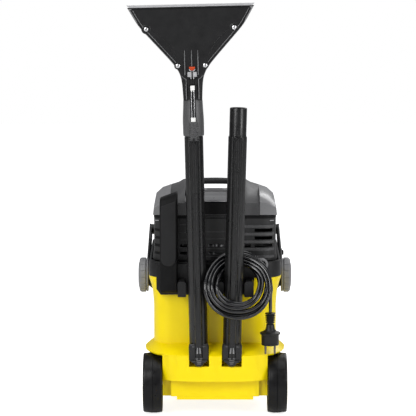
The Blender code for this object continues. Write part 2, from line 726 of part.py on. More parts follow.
def make_suction_unit():
    """Turbine, motor, pump, float and pipe, all hidden inside the head."""
    low = PLATE_HIGH_Z + GAP
    casing = [
        (16.0, low),
        (60.0, low),
        (60.0, low + 32.0),
        (26.0, low + 32.0),
        (26.0, low + 29.0),
        (57.0, low + 29.0),
        (57.0, low + 3.0),
        (16.0, low + 3.0),
    ]
    node("turbine_casing", turned(casing, "Z", FLOAT_AXIS, 20, closed=True), GREY)
    fan = node("turbine_fan", rod(53.0, "Z", FLOAT_AXIS, low + 5.0, low + 7.0, 20), LIGHT, origin=FLOAT_AXIS)
    join(fan, rod(9.0, "Z", FLOAT_AXIS, low + 4.0, low + 35.0, 12))
    blades = 6
    for blade in range(blades):
        angle = 2.0 * math.pi * blade / blades
        vane = block(8.0, 50.0, -1.0, 1.0, low + 6.0, low + 26.0)
        turn = Matrix.Translation(FLOAT_AXIS) @ Matrix.Rotation(angle, 4, "Z")
        bmesh.ops.transform(vane, verts=vane.verts, matrix=turn)
        join(fan, vane)
    motor = [(0.0, 340.0), (40.0, 340.0), (48.0, 346.0), (48.0, 386.0), (36.0, 400.0), (0.0, 402.0)]
    node("suction_motor", turned(motor, "Z", FLOAT_AXIS, 24), STEEL)

    pump = node("spray_pump", block(-112.0, -70.0, 70.0, 124.0, low, low + 40.0), BLACK)
    bevel(pump, 3.0, 1)
    join(pump, rod(15.0, "Y", (-91.0, 0.0, low + 22.0), 118.0, 142.0, 16))

    plate = PLATE_LOW_Z - GAP
    node("water_suction_pipe", pipe(17.0, 14.5, "Z", SUCTION_AXIS, 205.0, plate, 20), BLACK)
    cage = [(0.0, 235.0), (30.0, 235.0), (30.0, plate), (27.5, plate), (27.5, 238.0), (0.0, 238.0)]
    basket = node("float_cage", turned(cage, "Z", FLOAT_AXIS, 20), WHITE)
    cut(basket, block(-40.0, 40.0, 8.0, 32.0, 248.0, 286.0))
    cut(basket, block(-12.0, 12.0, -25.0, 60.0, 248.0, 286.0))
    ball = bmesh.new()
    bmesh.ops.create_uvsphere(ball, u_segments=12, v_segments=8, radius=17.5)
    bmesh.ops.translate(ball, verts=ball.verts, vec=(FLOAT_AXIS[0], FLOAT_AXIS[1], 256.5))
    node("float_ball", ball, ORANGE, origin=(FLOAT_AXIS[0], FLOAT_AXIS[1], 256.5))


# ---------------------------------------------------------------- carrying bow

def bow_point(reach):
    """The place, as (y, z), that lies a given distance up the bow's arms."""
    return (reach * math.sin(BOW_LEAN), PIVOT_Z + reach * math.cos(BOW_LEAN))


def make_bow():
    pivot = (0.0, 0.0, PIVOT_Z)
    tip = bow_point(BOW_REACH)
    bow = node("bow_handle", rod(12.0, "X", (0.0, *tip), -BOW_OUTER_X + 3.0, BOW_OUTER_X - 3.0, 16), BLACK, origin=pivot)
    arm = link_outline((0.0, PIVOT_Z), 24.0, tip, 12.5)
    button_y, button_z = bow_point(BOW_BUTTON_REACH)
    for side, sign in sides():
        near, far = sorted((sign * BOW_INNER_X, sign * BOW_OUTER_X))
        join(bow, prism(arm, "X", near, far))
        near, far = sorted((sign * (BOW_INNER_X - 5.0), sign * (BOW_OUTER_X + 5.0)))
        cut(bow, rod(8.6, "X", pivot_line(), near, far, 20))
        knob = [
            (0.0, KNOB_INNER_X),
            (KNOB_RADIUS - 1.0, KNOB_INNER_X),
            (KNOB_RADIUS, KNOB_INNER_X + 1.5),
            (KNOB_RADIUS, KNOB_OUTER_X - 6.0),
            (KNOB_RADIUS - 3.0, KNOB_OUTER_X - 2.0),
            (KNOB_RADIUS - 8.0, KNOB_OUTER_X),
            (0.0, KNOB_OUTER_X),
        ]
        outline = [(radius, sign * x) for radius, x in knob]
        node("bow_hub_" + side, turned(outline, "X", pivot_line(), 28), GREY, origin=pivot)
        wedge = [(129.6, 238.0), (131.0, 250.0), (134.3, 265.0), (138.6, 280.5), (140.6, 281.5), (140.6, 247.0)]
        bracket = node("pivot_bracket_" + side, prism(mirrored(wedge, sign), "Y", -24.0, 24.0), BLACK)
        near, far = sorted((sign * 138.0, sign * (BOW_OUTER_X - 0.5)))
        join(bracket, rod(8.0, "X", pivot_line(), near, far, 20))
    cut(bow, block(136.0, 150.0, button_y - 7.6, button_y + 7.6, button_z - 5.6, button_z + 5.6))
    stud = block(142.5, 150.5, button_y - 7.0, button_y + 7.0, button_z - 5.0, button_z + 5.0)
    stud_at = (BOW_OUTER_X, button_y, button_z)
    button = node("bow_release_button", stud, BLACK, origin=stud_at)
    bevel(button, 1.2, 1)


def pivot_line():
    """A point on the bow's axis."""
    return (0.0, 0.0, PIVOT_Z)


# ---------------------------------------------------------------- suction tubes and floor nozzle

def make_tube(side, x, lean):
    frame = tube_frame("tube_axis_" + side, x, lean)
    bore = [
        (TUBE_SOCKET, 5.0),
        (TUBE_RADIUS, 5.0),
        (TUBE_RADIUS, TUBE_SHOULDER),
        (TUBE_MALE, TUBE_SHOULDER + 1.5),
        (TUBE_MALE, TUBE_LENGTH),
        (TUBE_BORE - 0.6, TUBE_LENGTH),
        (TUBE_BORE - 0.6, 64.0),
        (TUBE_SOCKET, 62.0),
    ]
    tube = node("suction_tube_" + side, turned(bore, "Z", (0.0, 0.0, 0.0), 24, closed=True), BLACK, frame)
    ridge = [(-RIDGE_HALF_X, -18.3), (-RIDGE_HALF_X, RIDGE_Y + 2.0), (-RIDGE_HALF_X + 2.0, RIDGE_Y)]
    ridge += [(-x_, y_) for x_, y_ in reversed(ridge)]
    join(tube, prism(ridge, "Z", 4.0, TUBE_SHOULDER - 4.0), frame)
    nub = [(-7.0, 6.0), (-5.0, 1.5), (-2.0, 0.0), (2.0, 0.0), (5.0, 1.5), (7.0, 6.0)]
    join(tube, prism(nub, "Y", -21.5, -18.4), frame)
    cut(tube, block(-6.0, 6.0, -30.0, -19.4, 18.0, 41.0), frame)
    plate = [(-5.4, 18.6), (5.4, 18.6), (3.2, 40.4), (-3.2, 40.4)]
    latch = node("tube_latch_" + side, prism(plate, "Y", -25.0, -22.0), GREY, frame)
    bevel(latch, 0.8, 1)
    return frame


SHELL_LEVELS = (
    (NECK_W + GAP, 19.0, -17.0, 19.0, 9.0),
    (585.0, 21.7, -17.0, 17.0, 8.0),
    (600.0, 27.0, -17.0, 16.0, 8.0),
    (615.0, 36.0, -17.0, 14.0, 7.0),
    (697.0, 106.4, -17.0, 3.0, 5.0),
    (714.0, 117.0, -17.0, 0.0, 4.5),
    (MOUTH_W, MOUTH_HALF_X, -17.0, -3.0, 4.0),
)


def make_nozzle(frame):
    shell = node("nozzle_shell", stack(SHELL_LEVELS), GREY, frame)
    hollow = [list(level) for level in SHELL_LEVELS]
    hollow[0][0] -= 4.0
    hollow[-1][0] += 4.0
    cut(shell, stack([tuple(level) for level in hollow], 2.4), frame)

    inset = 3.5
    right = [(half - inset, w) for w, half, *_ in SHELL_LEVELS[1:-1]] + [(MOUTH_HALF_X - inset - 1.0, MOUTH_W - 3.0)]
    left = [(-x, w) for x, w in reversed(right)]
    node("nozzle_cover", prism(right + left, "Y", -20.3, -17.3), BLACK, frame)
    lip = block(-MOUTH_HALF_X, MOUTH_HALF_X, -20.3, -14.4, MOUTH_W + GAP, MOUTH_W + 5.2)
    node("nozzle_lip", lip, LIGHT, frame)

    screws = ((-90.0, 690.0), (-28.5, 615.5), (26.5, 615.5), (86.0, 690.0))
    for number, (x, w) in enumerate(screws, start=1):
        head = [(0.0, -20.6), (4.2, -20.6), (4.2, -21.8), (3.0, -22.8), (0.0, -22.8)]
        node("nozzle_screw_%d" % number, turned(head, "Y", (x, 0.0, w), 10), STEEL, frame)

    sleeve = [
        (TUBE_SOCKET, TUBE_SHOULDER + 2.0),
        (21.3, TUBE_SHOULDER + 2.0),
        (21.3, 500.0),
        (19.6, NECK_W),
        (17.0, NECK_W),
        (TUBE_SOCKET, NECK_W - 2.0),
    ]
    neck = node("nozzle_sleeve", turned(sleeve, "Z", (0.0, 0.0, 0.0), 24, closed=True), GREY, frame)
    cut(neck, block(-5.6, 5.6, -30.0, -18.7, TUBE_SHOULDER, NECK_W + 2.0), frame)

    line = node("spray_line", block(-3.6, 3.6, -25.0, -19.0, 502.5, 509.5), WHITE, frame)
    join(line, block(-3.6, 3.6, -25.6, -20.6, 566.5, 573.5), frame)
    for x in (-2.6, 2.6):
        join(line, rod(0.9, "Z", (x, -22.4, 0.0), 508.0, 568.0, 8), frame)
    jet = node("spray_jet", block(-6.3, 6.3, -24.5, -20.6, 606.0, 612.5), ORANGE, frame)
    join(jet, block(-9.5, -1.0, -24.5, -20.6, 592.0, 600.0), frame)
    join(jet, block(1.0, 9.5, -24.5, -20.6, 592.0, 600.0), frame)
    join(jet, block(-4.0, 4.0, -23.6, -20.6, 594.0, 608.0), frame)


# ---------------------------------------------------------------- power cord

def coil_depth(angle):
    """How far back the middle of the cord bundle lies, from its angle round the loop in degrees.

    The loop hangs on the hook behind the right tube, passes forward between the two tubes, crosses in
    front of the right tube at the bottom and comes back round its right side.
    """
    angle = angle % 360.0
    travel = COIL_BEHIND_Y - COIL_FRONT_Y
    if 100.0 <= angle <= 200.0:
        return COIL_BEHIND_Y - travel * ease((angle - 100.0) / 100.0)
    if 80.0 < angle < 100.0:
        return COIL_BEHIND_Y
    if 200.0 < angle < 290.0:
        return COIL_FRONT_Y
    return COIL_BEHIND_Y - travel * ease(((80.0 - angle) % 360.0) / 150.0)


def ease(t):
    """A smooth step from 0 to 1."""
    return 0.5 - 0.5 * math.cos(math.pi * t)


def coil_point(angle):
    """The middle of the bundle at an angle in degrees: 0 is its right side and 90 its top."""
    a = math.radians(angle)
    return Vector((COIL_X + COIL_RADIUS_X * math.cos(a), coil_depth(angle), COIL_Z + COIL_RADIUS_Z * math.sin(a)))


def make_coil():
    """The hanging bundle of turns, as one closed ring with a rounded rectangular section."""
    stations = 32
    bm = bmesh.new()
    corner = 4.0
    wide, deep = COIL_HALF_WIDTH, COIL_HALF_DEPTH
    section = [
        (wide, deep - corner),
        (wide - corner, deep),
        (corner - wide, deep),
        (-wide, deep - corner),
        (-wide, corner - deep),
        (corner - wide, -deep),
        (wide - corner, -deep),
        (wide, corner - deep),
    ]
    rings = []
    for station in range(stations):
        angle = 360.0 * station / stations
        tangent = (coil_point(angle + 1.0) - coil_point(angle - 1.0)).normalized()
        a = math.radians(angle)
        outward = Vector((math.cos(a), 0.0, math.sin(a)))
        outward = (outward - tangent * outward.dot(tangent)).normalized()
        across = tangent.cross(outward)
        middle = coil_point(angle)
        rings.append([bm.verts.new(middle + outward * u + across * v) for u, v in section])
    for i, ring in enumerate(rings):
        following = rings[(i + 1) % stations]
        for j in range(len(section)):
            k = (j + 1) % len(section)
            bm.faces.new((ring[j], ring[k], following[k], following[j]))
    node("cord_coil", bm, CORD)


def make_cord_run(name, points):
    """A stretch of cord along a smooth curve through the given points."""
    curve = bpy.data.curves.new(name, "CURVE")
    curve.dimensions = "3D"
    curve.bevel_depth = CORD_DIAMETER / 2.0 * MM
    curve.bevel_resolution = 2
    curve.use_fill_caps = True
    curve.materials.append(CORD)
    smooth = smooth_points(points, CORD_DIAMETER * 1.2)
    line = curve.splines.new("POLY")
    line.points.add(len(smooth) - 1)
    for target, point in zip(line.points, smooth):
        target.co = (*(point * MM), 1.0)
    made = bpy.data.objects.new(name, curve)
    bpy.context.collection.objects.link(made)
    made.parent = MACHINE


def smooth_points(points, spacing):
    """Points about a spacing apart on the Catmull-Rom curve through the route's own points."""
    route = [Vector(point) for point in points]
    route = [2.0 * route[0] - route[1]] + route + [2.0 * route[-1] - route[-2]]
    smooth = []
    for a, b, c, d in zip(route, route[1:], route[2:], route[3:]):
        steps = max(2, round((c - b).length / spacing))
        for step in range(steps):
            t = step / steps
            smooth.append(
                0.5 * (2.0 * b + (c - a) * t + (2.0 * a - 5.0 * b + 4.0 * c - d) * t * t
                       + (3.0 * b - a - 3.0 * c + d) * t ** 3)
            )
    smooth.append(route[-2])
    return smooth


LEAD_ROUTE = ((97.5, -143.0, 315.6), (98.2, -148.5, 312.8), (98.9, -154.0, 309.4), (99.6, -159.0, 305.6))
DROP_ROUTE = ((113.0, PLUG_Y, 250.0), (113.0, PLUG_Y, 240.0), (112.9, PLUG_Y, 230.0), (PLUG_X, PLUG_Y, PLUG_TOP_Z + GAP))


def make_plug():
    profile = [
        (0.0, PLUG_TOP_Z),
        (8.0, PLUG_TOP_Z),
        (9.0, 203.0),
        (11.0, 198.0),
        (17.0, 183.0),
        (21.0, 181.0),
        (21.0, 176.0),
        (18.0, 173.0),
        (18.0, 154.0),
        (0.0, 154.0),
    ]
    node("plug_body", turned(profile, "Z", (PLUG_X, PLUG_Y, 0.0), 24), CORD)
    for side, sign in sides():
        at = (PLUG_X + sign * 9.5, PLUG_Y, 0.0)
        node("plug_pin_" + side, rod(2.4, "Z", at, 134.0, 154.0 - GAP, 12), STEEL)


# ---------------------------------------------------------------- assembly

make_tank()
make_rear_wheels()
make_casters()
make_dirty_water_tank()
make_head_base()
make_motor_housing()
make_top_cover()
make_recess_panel()
make_carry_handle()
make_flanks()
make_duct_cover()
make_tube_holder()
make_cable_fittings()
make_front_ports()
make_switches()
make_suction_unit()
make_bow()
left_frame = make_tube("left", LEFT_TUBE_X, LEFT_TUBE_LEAN)
make_tube("right", RIGHT_TUBE_X, RIGHT_TUBE_LEAN)
make_nozzle(left_frame)
make_coil()
make_cord_run("cord_lead", LEAD_ROUTE)
make_cord_run("cord_drop", DROP_ROUTE)
make_plug()
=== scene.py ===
"""Spray-extraction carpet cleaner: its looks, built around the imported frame.

Laid out as a Blender add-on and run as a script.  Sizes are in millimetres in the machine's own
coordinates: X = 0 is the machine's centre plane, Y = 0 the knobs' axis with -Y to the rear, and
Z = 0 the floor.  place() turns them into the frame's metres.
"""

import math

import bmesh
import bpy
import numpy as np
from bpy.props import FloatProperty, FloatVectorProperty, IntProperty, PointerProperty
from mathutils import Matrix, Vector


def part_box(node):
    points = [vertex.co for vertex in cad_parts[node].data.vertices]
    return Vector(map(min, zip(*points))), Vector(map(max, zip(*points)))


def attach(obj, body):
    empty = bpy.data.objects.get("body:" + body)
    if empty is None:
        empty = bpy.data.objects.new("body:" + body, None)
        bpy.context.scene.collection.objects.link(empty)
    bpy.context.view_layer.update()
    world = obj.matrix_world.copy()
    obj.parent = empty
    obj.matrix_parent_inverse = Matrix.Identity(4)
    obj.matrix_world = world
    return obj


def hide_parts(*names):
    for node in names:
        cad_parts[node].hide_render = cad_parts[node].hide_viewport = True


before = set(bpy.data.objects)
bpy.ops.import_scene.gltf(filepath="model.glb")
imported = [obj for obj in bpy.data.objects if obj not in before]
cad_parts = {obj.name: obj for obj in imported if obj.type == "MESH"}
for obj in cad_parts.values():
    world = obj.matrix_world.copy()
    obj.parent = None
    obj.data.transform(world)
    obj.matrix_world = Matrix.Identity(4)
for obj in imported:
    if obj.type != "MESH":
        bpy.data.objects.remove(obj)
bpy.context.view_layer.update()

bl_info = {
    "name": "Carpet Cleaner Looks",
    "version": (1, 0, 0),
    "blender": (4, 5, 0),
    "location": "3D View > Sidebar > Cleaner",
    "description": "Builds the finished surfaces of a spray-extraction carpet cleaner on its frame",
    "category": "Object",
}

MM = 0.001
TAU = 2.0 * math.pi


# ---------------------------------------------------------------- places taken from the frame

def middle(node):
    """The middle of a node's box, in metres."""
    low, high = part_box(node)
    return (np.array(low) + np.array(high)) / 2.0


CENTRE = np.array([middle("tank_shell")[0], middle("bow_hub_left")[1], 0.0])


def place(points):
    """Machine millimetres to the frame's metres."""
    return np.asarray(points, dtype=float) * MM + CENTRE


TUBE_Y = -185.0
TUBE_FOOT_Z = 111.0
TUBES = {"left": (-32.6, math.radians(-1.3)), "right": (33.7, math.radians(1.45))}
PIVOT_Z = 266.0
SIDES = (("left", -1.0), ("right", 1.0))
WHEEL_RADIUS = 63.0
AXLE_Y = -140.0


def along_tube(points, side):
    """Points in a tube's own frame (across, depth, up the tube) to machine millimetres."""
    points = np.asarray(points, dtype=float)
    foot, lean = TUBES[side]
    x, y, w = points[..., 0], points[..., 1], points[..., 2]
    return np.stack(
        [
            foot + x * math.cos(lean) + w * math.sin(lean),
            TUBE_Y + y,
            TUBE_FOOT_Z - x * math.sin(lean) + w * math.cos(lean),
        ],
        axis=-1,
    )


# ---------------------------------------------------------------- surfaces

def grid_faces(rows, columns, wrap_rows, wrap_columns):
    """Quads over a grid of points, joined across the last row or column where it wraps."""
    index = np.arange(rows * columns).reshape(rows, columns)
    if wrap_rows:
        index = np.vstack([index, index[:1]])
    if wrap_columns:
        index = np.hstack([index, index[:, :1]])
    quads = np.stack([index[:-1, :-1], index[:-1, 1:], index[1:, 1:], index[1:, :-1]], axis=-1)
    return quads.reshape(-1, 4).tolist()


def skin(grid, wrap_rows=False, caps=True):
    """A surface through a grid whose columns run round: open ends are capped unless the rows wrap."""
    grid = np.asarray(grid, dtype=float)
    rows, columns = grid.shape[:2]
    faces = grid_faces(rows, columns, wrap_rows, True)
    if caps and not wrap_rows:
        faces.append(list(range(columns)))
        faces.append([(rows - 1) * columns + i for i in range(columns)])
    return grid.reshape(-1, 3), faces


def revolve(profile, axis, centre, steps=64, closed=False, notch=None):
    """A profile of (radius, along) turned round an axis through the centre.

    notch is a function of (angle, radius, along) that gives how much is taken off the radius.
    """
    profile = np.asarray(profile, dtype=float)
    angle = np.linspace(0.0, TAU, steps, endpoint=False)[None, :]
    radius = np.repeat(profile[:, :1], steps, axis=1)
    run = np.repeat(profile[:, 1:2], steps, axis=1)
    if notch is not None:
        radius = radius - notch(angle, radius, run)
    a, b = radius * np.cos(angle), radius * np.sin(angle)
    order = {"X": (run, a, b), "Y": (b, run, a), "Z": (a, b, run)}[axis]
    grid = np.stack(order, axis=-1) + np.asarray(centre, dtype=float)
    return skin(grid, wrap_rows=closed)


def plan(half, rear, front, radius, steps):
    """A rounded rectangle in plan: four quarter circles joined by straight sides."""
    turn = np.linspace(0.0, math.pi / 2.0, steps + 1)
    corners = []
    for quarter, (sx, y) in enumerate(((1, front), (-1, front), (-1, rear), (1, rear))):
        centre_y = y - radius if quarter < 2 else y + radius
        a = turn + quarter * math.pi / 2.0
        x = sx * (half - radius) + radius * np.cos(a)
        corners.append(np.column_stack([x, centre_y + radius * np.sin(a)]))
    return np.concatenate(corners)


BOX_EDGE_STEPS = 4


def rounded_box(low, high, radius):
    """A box with round edges: plan outlines stacked up, each drawn in as a quarter circle at both ends."""
    low, high = np.asarray(low, float), np.asarray(high, float)
    radius = min(radius, 0.49 * float(np.min(high - low)))
    rise = np.linspace(0.0, math.pi / 2.0, BOX_EDGE_STEPS + 1)
    climb = radius * (1 - np.cos(rise))
    heights = np.concatenate([low[2] + climb, high[2] - climb[::-1]])
    inset = radius * (1.0 - np.sin(np.concatenate([rise, rise[::-1]])))
    half = (high[0] - low[0]) / 2.0
    centre_x = (high[0] + low[0]) / 2.0
    rings = []
    for z, draw in zip(heights, inset):
        ring = plan(half - draw, low[1] + draw, high[1] - draw, max(radius - draw, 0.02), BOX_EDGE_STEPS)
        rings.append(np.column_stack([ring[:, 0] + centre_x, ring[:, 1], np.full(len(ring), z)]))
    return skin(np.array(rings))


def blocks(*rows):
    """Blocks with round edges, one for each (low, high, radius)."""
    return [rounded_box(*row) for row in rows]


def extrude(outline, axis, start, end, chamfer=0.0):
    """An outline carried along an axis, drawn in a little at both ends where it has a chamfer."""
    outline = np.asarray(outline, dtype=float)
    slot = "XYZ".index(axis)
    centre = (outline.min(axis=0) + outline.max(axis=0)) / 2.0
    half = np.maximum((outline.max(axis=0) - outline.min(axis=0)) / 2.0, 1e-6)
    rings = []
    way = 1.0 if end > start else -1.0
    levels = [(start, 0.0), (end, 0.0)]
    if chamfer > 0.0:
        levels = [(start, chamfer), (start + way * chamfer, 0.0), (end - way * chamfer, 0.0), (end, chamfer)]
    for at, draw in levels:
        drawn = centre + (outline - centre) * (1.0 - draw / half)
        rings.append(np.insert(drawn, slot, at, axis=1))
    return skin(np.array(rings))


def sweep(path, profile, up=(0.0, -1.0, 0.0), closed=False, scale=None):
    """A profile of (across, out) carried along a path: across is tangent x up, out is across x tangent."""
    path = np.asarray(path, dtype=float)
    if closed:
        tangent = np.roll(path, -1, axis=0) - np.roll(path, 1, axis=0)
    else:
        tangent = np.gradient(path, axis=0)
    tangent /= np.linalg.norm(tangent, axis=1, keepdims=True)
    across = np.cross(tangent, np.asarray(up, dtype=float))
    across /= np.linalg.norm(across, axis=1, keepdims=True)
    out = np.cross(across, tangent)
    profile = np.asarray(profile, dtype=float)
    size = np.ones(len(path)) if scale is None else np.asarray(scale, dtype=float)
    grid = (
        path[:, None, :]
        + across[:, None, :] * (profile[None, :, :1] * size[:, None, None])
        + out[:, None, :] * (profile[None, :, 1:2] * size[:, None, None])
    )
    return skin(grid, wrap_rows=closed)


def circle(radius, steps):
    """A circle as (across, out) points."""
    angle = np.linspace(0.0, TAU, steps, endpoint=False)
    return np.column_stack([radius * np.cos(angle), radius * np.sin(angle)])


BEAD_ROOT = 0.6


def bead(width, height):
    """The section of a low moulded rib: a half ellipse on a short straight root."""
    angle = np.linspace(0.0, math.pi, 7)
    top = np.column_stack([width / 2.0 * np.cos(angle), height * np.sin(angle)])
    return np.vstack([top, [(-width / 2.0, -BEAD_ROOT), (width / 2.0, -BEAD_ROOT)]])


def smooth_step(t):
    """0 before 0, 1 after 1, and a cubic ease between."""
    t = np.clip(t, 0.0, 1.0)
    return t * t * (3.0 - 2.0 * t)


def curve_through(points, count):
    """An even run of points on the Catmull-Rom curve through a few chosen points."""
    points = np.asarray(points, dtype=float)
    full = np.vstack([2.0 * points[0] - points[1], points, 2.0 * points[-1] - points[-2]])
    place_on = np.linspace(0.0, len(points) - 1.0 - 1e-9, count * 4)
    i = place_on.astype(int)
    t = (place_on - i)[:, None]
    a, b, c, d = full[i], full[i + 1], full[i + 2], full[i + 3]
    dense = 0.5 * (2.0 * b + (c - a) * t + (2.0 * a - 5.0 * b + 4.0 * c - d) * t ** 2
                   + (3.0 * b - a - 3.0 * c + d) * t ** 3)
    return even_run(dense, count)


def even_run(path, count):
    """The same path with a given number of evenly spaced points."""
    steps = np.linalg.norm(np.diff(path, axis=0), axis=1)
    travelled = np.concatenate([[0.0], np.cumsum(steps)])
    wanted = np.linspace(0.0, travelled[-1], count)
    return np.column_stack([np.interp(wanted, travelled, path[:, k]) for k in range(3)])


WELD = 2e-6
SLIVER = 1e-7


def make_piece(name, parts, finish, body, replaces=(), sharp=35.0):
    """Join surfaces into one object, point its faces outwards and let it ride on its body.

    Edges whose faces meet at more than the sharp angle, in degrees, are not smoothed.
    """
    points, faces, offset = [], [], 0
    for part_points, part_faces in parts:
        points.append(part_points)
        faces.extend([[i + offset for i in face] for face in part_faces])
        offset += len(part_points)
    mesh = bpy.data.meshes.new(name)
    mesh.from_pydata(place(np.vstack(points)), [], faces)
    work = bmesh.new()
    work.from_mesh(mesh)
    bmesh.ops.remove_doubles(work, verts=work.verts, dist=WELD)
    bmesh.ops.dissolve_degenerate(work, edges=work.edges, dist=SLIVER)
    bmesh.ops.recalc_face_normals(work, faces=work.faces)
    work.to_mesh(mesh)
    work.free()
    mesh.shade_smooth()
    mesh.set_sharp_from_angle(angle=math.radians(sharp))
    mesh.materials.append(FINISH[finish])
    made = bpy.data.objects.new(name, mesh)
    bpy.context.scene.collection.objects.link(made)
    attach(made, body)
    if replaces:
        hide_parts(*replaces)
    return made


ROUND_WIDTH = 0.8
ROUND_ANGLE = 38.0


def round_edges(made):
    """Round an object's sharp edges."""
    step = made.modifiers.new("rounded edges", "BEVEL")
    step.width = ROUND_WIDTH * MM
    step.segments = 2
    step.limit_method = "ANGLE"
    step.angle_limit = math.radians(ROUND_ANGLE)
    step.harden_normals = True


# ---------------------------------------------------------------- finishes

class Finish:
    """A small helper that adds nodes to one material and joins them."""

    def __init__(self, name):
        self.made = bpy.data.materials.new(name)
        self.made.use_nodes = True
        self.tree = self.made.node_tree
        self.shader = self.tree.nodes["Principled BSDF"]
        self.place = self.add("ShaderNodeTexCoord").outputs["Object"]

    def add(self, kind, **settings):
        made = self.tree.nodes.new(kind)
        for key, value in settings.items():
            setattr(made, key, value)
        return made

    def join(self, source, target):
        self.tree.links.new(source, target)

    def feed(self, name, source):
        """Join a source to one of the shader's inputs."""
        self.join(source, self.shader.inputs[name])

    def give(self, values):
        """Set some of the shader's inputs."""
        for name, value in values.items():
            self.shader.inputs[name].default_value = value

    def stretched(self, scale):
        """Object coordinates multiplied along each axis."""
        mapping = self.add("ShaderNodeMapping")
        mapping.inputs["Scale"].default_value = scale
        self.join(self.place, mapping.inputs["Vector"])
        return mapping.outputs["Vector"]

    def noise(self, size_mm, detail=3.0, roughness=0.55, stretch=(1.0, 1.0, 1.0)):
        """Noise whose blotches are about the given size."""
        made = self.add("ShaderNodeTexNoise")
        made.inputs["Scale"].default_value = 1000.0 / size_mm
        made.inputs["Detail"].default_value = detail
        made.inputs["Roughness"].default_value = roughness
        self.join(self.stretched(stretch), made.inputs["Vector"])
        return made.outputs["Fac"]

    def cells(self, size_mm):
        """Distance to the nearest of many random points, for a stippled mould."""
        made = self.add("ShaderNodeTexVoronoi")
        made.inputs["Scale"].default_value = 1000.0 / size_mm
        self.join(self.stretched((1.0, 1.0, 1.0)), made.inputs["Vector"])
        return made.outputs["Distance"]

    def levels(self, source, low, high, span=(0.3, 0.7)):
        """A source squeezed from its span into new limits."""
        made = self.add("ShaderNodeMapRange")
        made.inputs["From Min"].default_value = span[0]
        made.inputs["From Max"].default_value = span[1]
        made.inputs["To Min"].default_value = low
        made.inputs["To Max"].default_value = high
        self.join(source, made.inputs["Value"])
        return made.outputs["Result"]

    def tint(self, source, dark, light):
        """Two colours mixed by a source."""
        made = self.add("ShaderNodeMix", data_type="RGBA")
        colours = [socket for socket in made.inputs if socket.type == "RGBA"]
        colours[0].default_value = (*dark, 1.0)
        colours[1].default_value = (*light, 1.0)
        self.join(source, made.inputs["Factor"])
        return next(socket for socket in made.outputs if socket.type == "RGBA")

    def bump(self, source, depth_mm, strength=1.0, under=None):
        """A height in millimetres, laid over another bump where one is given."""
        made = self.add("ShaderNodeBump")
        made.inputs["Strength"].default_value = strength
        made.inputs["Distance"].default_value = depth_mm * MM
        self.join(source, made.inputs["Height"])
        if under is not None:
            self.join(under, made.inputs["Normal"])
        return made.outputs["Normal"]


def shade(colour, factor):
    """A colour made lighter or darker."""
    return tuple(min(1.0, channel * factor) for channel in colour)


def plastic(name, colour, roughness, grain_mm, grain_depth, cloud=0.08, specular=0.4, coat=0.0):
    """Moulded plastic: a stippled surface, faint flow clouds, rubbed and dusty patches in its gloss."""
    finish = Finish(name)
    clouds = finish.noise(38.0, 4.0)
    speck = finish.noise(grain_mm, 2.0)
    mixed = finish.add("ShaderNodeMath", operation="MULTIPLY_ADD")
    finish.join(speck, mixed.inputs[0])
    mixed.inputs[1].default_value = 0.45
    finish.join(clouds, mixed.inputs[2])
    tone = finish.levels(mixed.outputs[0], 0.0, 1.0, (0.45, 1.0))
    finish.feed("Base Color", finish.tint(tone, shade(colour, 1.0 - cloud), shade(colour, 1.0 + cloud)))
    rubbed = finish.noise(14.0, 5.0, 0.65)
    finish.feed("Roughness", finish.levels(rubbed, roughness - 0.06, roughness + 0.07))
    wave = finish.bump(finish.noise(60.0, 1.0), 0.12, 0.35)
    grain = finish.bump(finish.cells(grain_mm), grain_depth, 0.8, wave)
    finish.feed("Normal", finish.bump(speck, grain_depth * 0.6, 0.6, grain))
    finish.give({"Specular IOR Level": specular, "Coat Weight": coat, "Coat Roughness": 0.12})
    return finish.made


def yellow_plastic():
    """Saturated yellow moulding, satin, a little translucent, with faint flow lines and fine polish marks."""
    finish = Finish("tank yellow")
    clouds = finish.noise(55.0, 4.0)
    tone = finish.levels(clouds, 0.0, 1.0)
    finish.feed("Base Color", finish.tint(tone, (0.92, 0.71, 0.0), (0.97, 0.76, 0.0)))
    streaks = finish.noise(9.0, 5.0, 0.6, (1.0, 1.0, 0.25))
    finish.feed("Roughness", finish.levels(streaks, 0.30, 0.42))
    sink = finish.bump(finish.noise(80.0, 1.0), 0.25, 0.3)
    finish.feed("Normal", finish.bump(finish.noise(0.9, 2.0), 0.012, 0.6, sink))
    finish.give({"Specular IOR Level": 0.24, "Coat Weight": 0.08, "Coat Roughness": 0.2,
                 "Subsurface Weight": 0.06, "Subsurface Radius": (0.004, 0.003, 0.0005)})
    return finish.made


def grained_plastic(name, colour, roughness, cell_mm, depth):
    """Spark-eroded grain: leathery cells whose tops catch the light."""
    finish = Finish(name)
    cell = finish.cells(cell_mm)
    fleck = finish.noise(cell_mm * 0.8, 3.0, 0.7)
    tone = finish.levels(fleck, 0.0, 1.0, (0.35, 0.68))
    finish.feed("Base Color", finish.tint(tone, shade(colour, 0.72), shade(colour, 1.32)))
    finish.feed("Roughness", finish.levels(finish.noise(20.0, 4.0), roughness - 0.05, roughness + 0.08))
    leather = finish.bump(cell, depth, 0.9)
    finish.feed("Normal", finish.bump(fleck, depth * 0.7, 0.8, leather))
    finish.give({"Specular IOR Level": 0.45})
    return finish.made


def rubber(name, colour, roughness, scuff_mm, specular):
    """Rubber or soft cord sheath: fine talc bloom and small scuffs."""
    finish = Finish(name)
    bloom = finish.noise(scuff_mm, 5.0, 0.7)
    tone = finish.levels(bloom, 0.0, 1.0)
    finish.feed("Base Color", finish.tint(tone, shade(colour, 0.8), shade(colour, 1.35)))
    scuffs = finish.noise(scuff_mm * 2.0, 4.0)
    finish.feed("Roughness", finish.levels(scuffs, roughness - 0.07, roughness + 0.1))
    finish.feed("Normal", finish.bump(finish.noise(0.7, 3.0), 0.02, 0.7))
    finish.give({"Specular IOR Level": specular})
    return finish.made


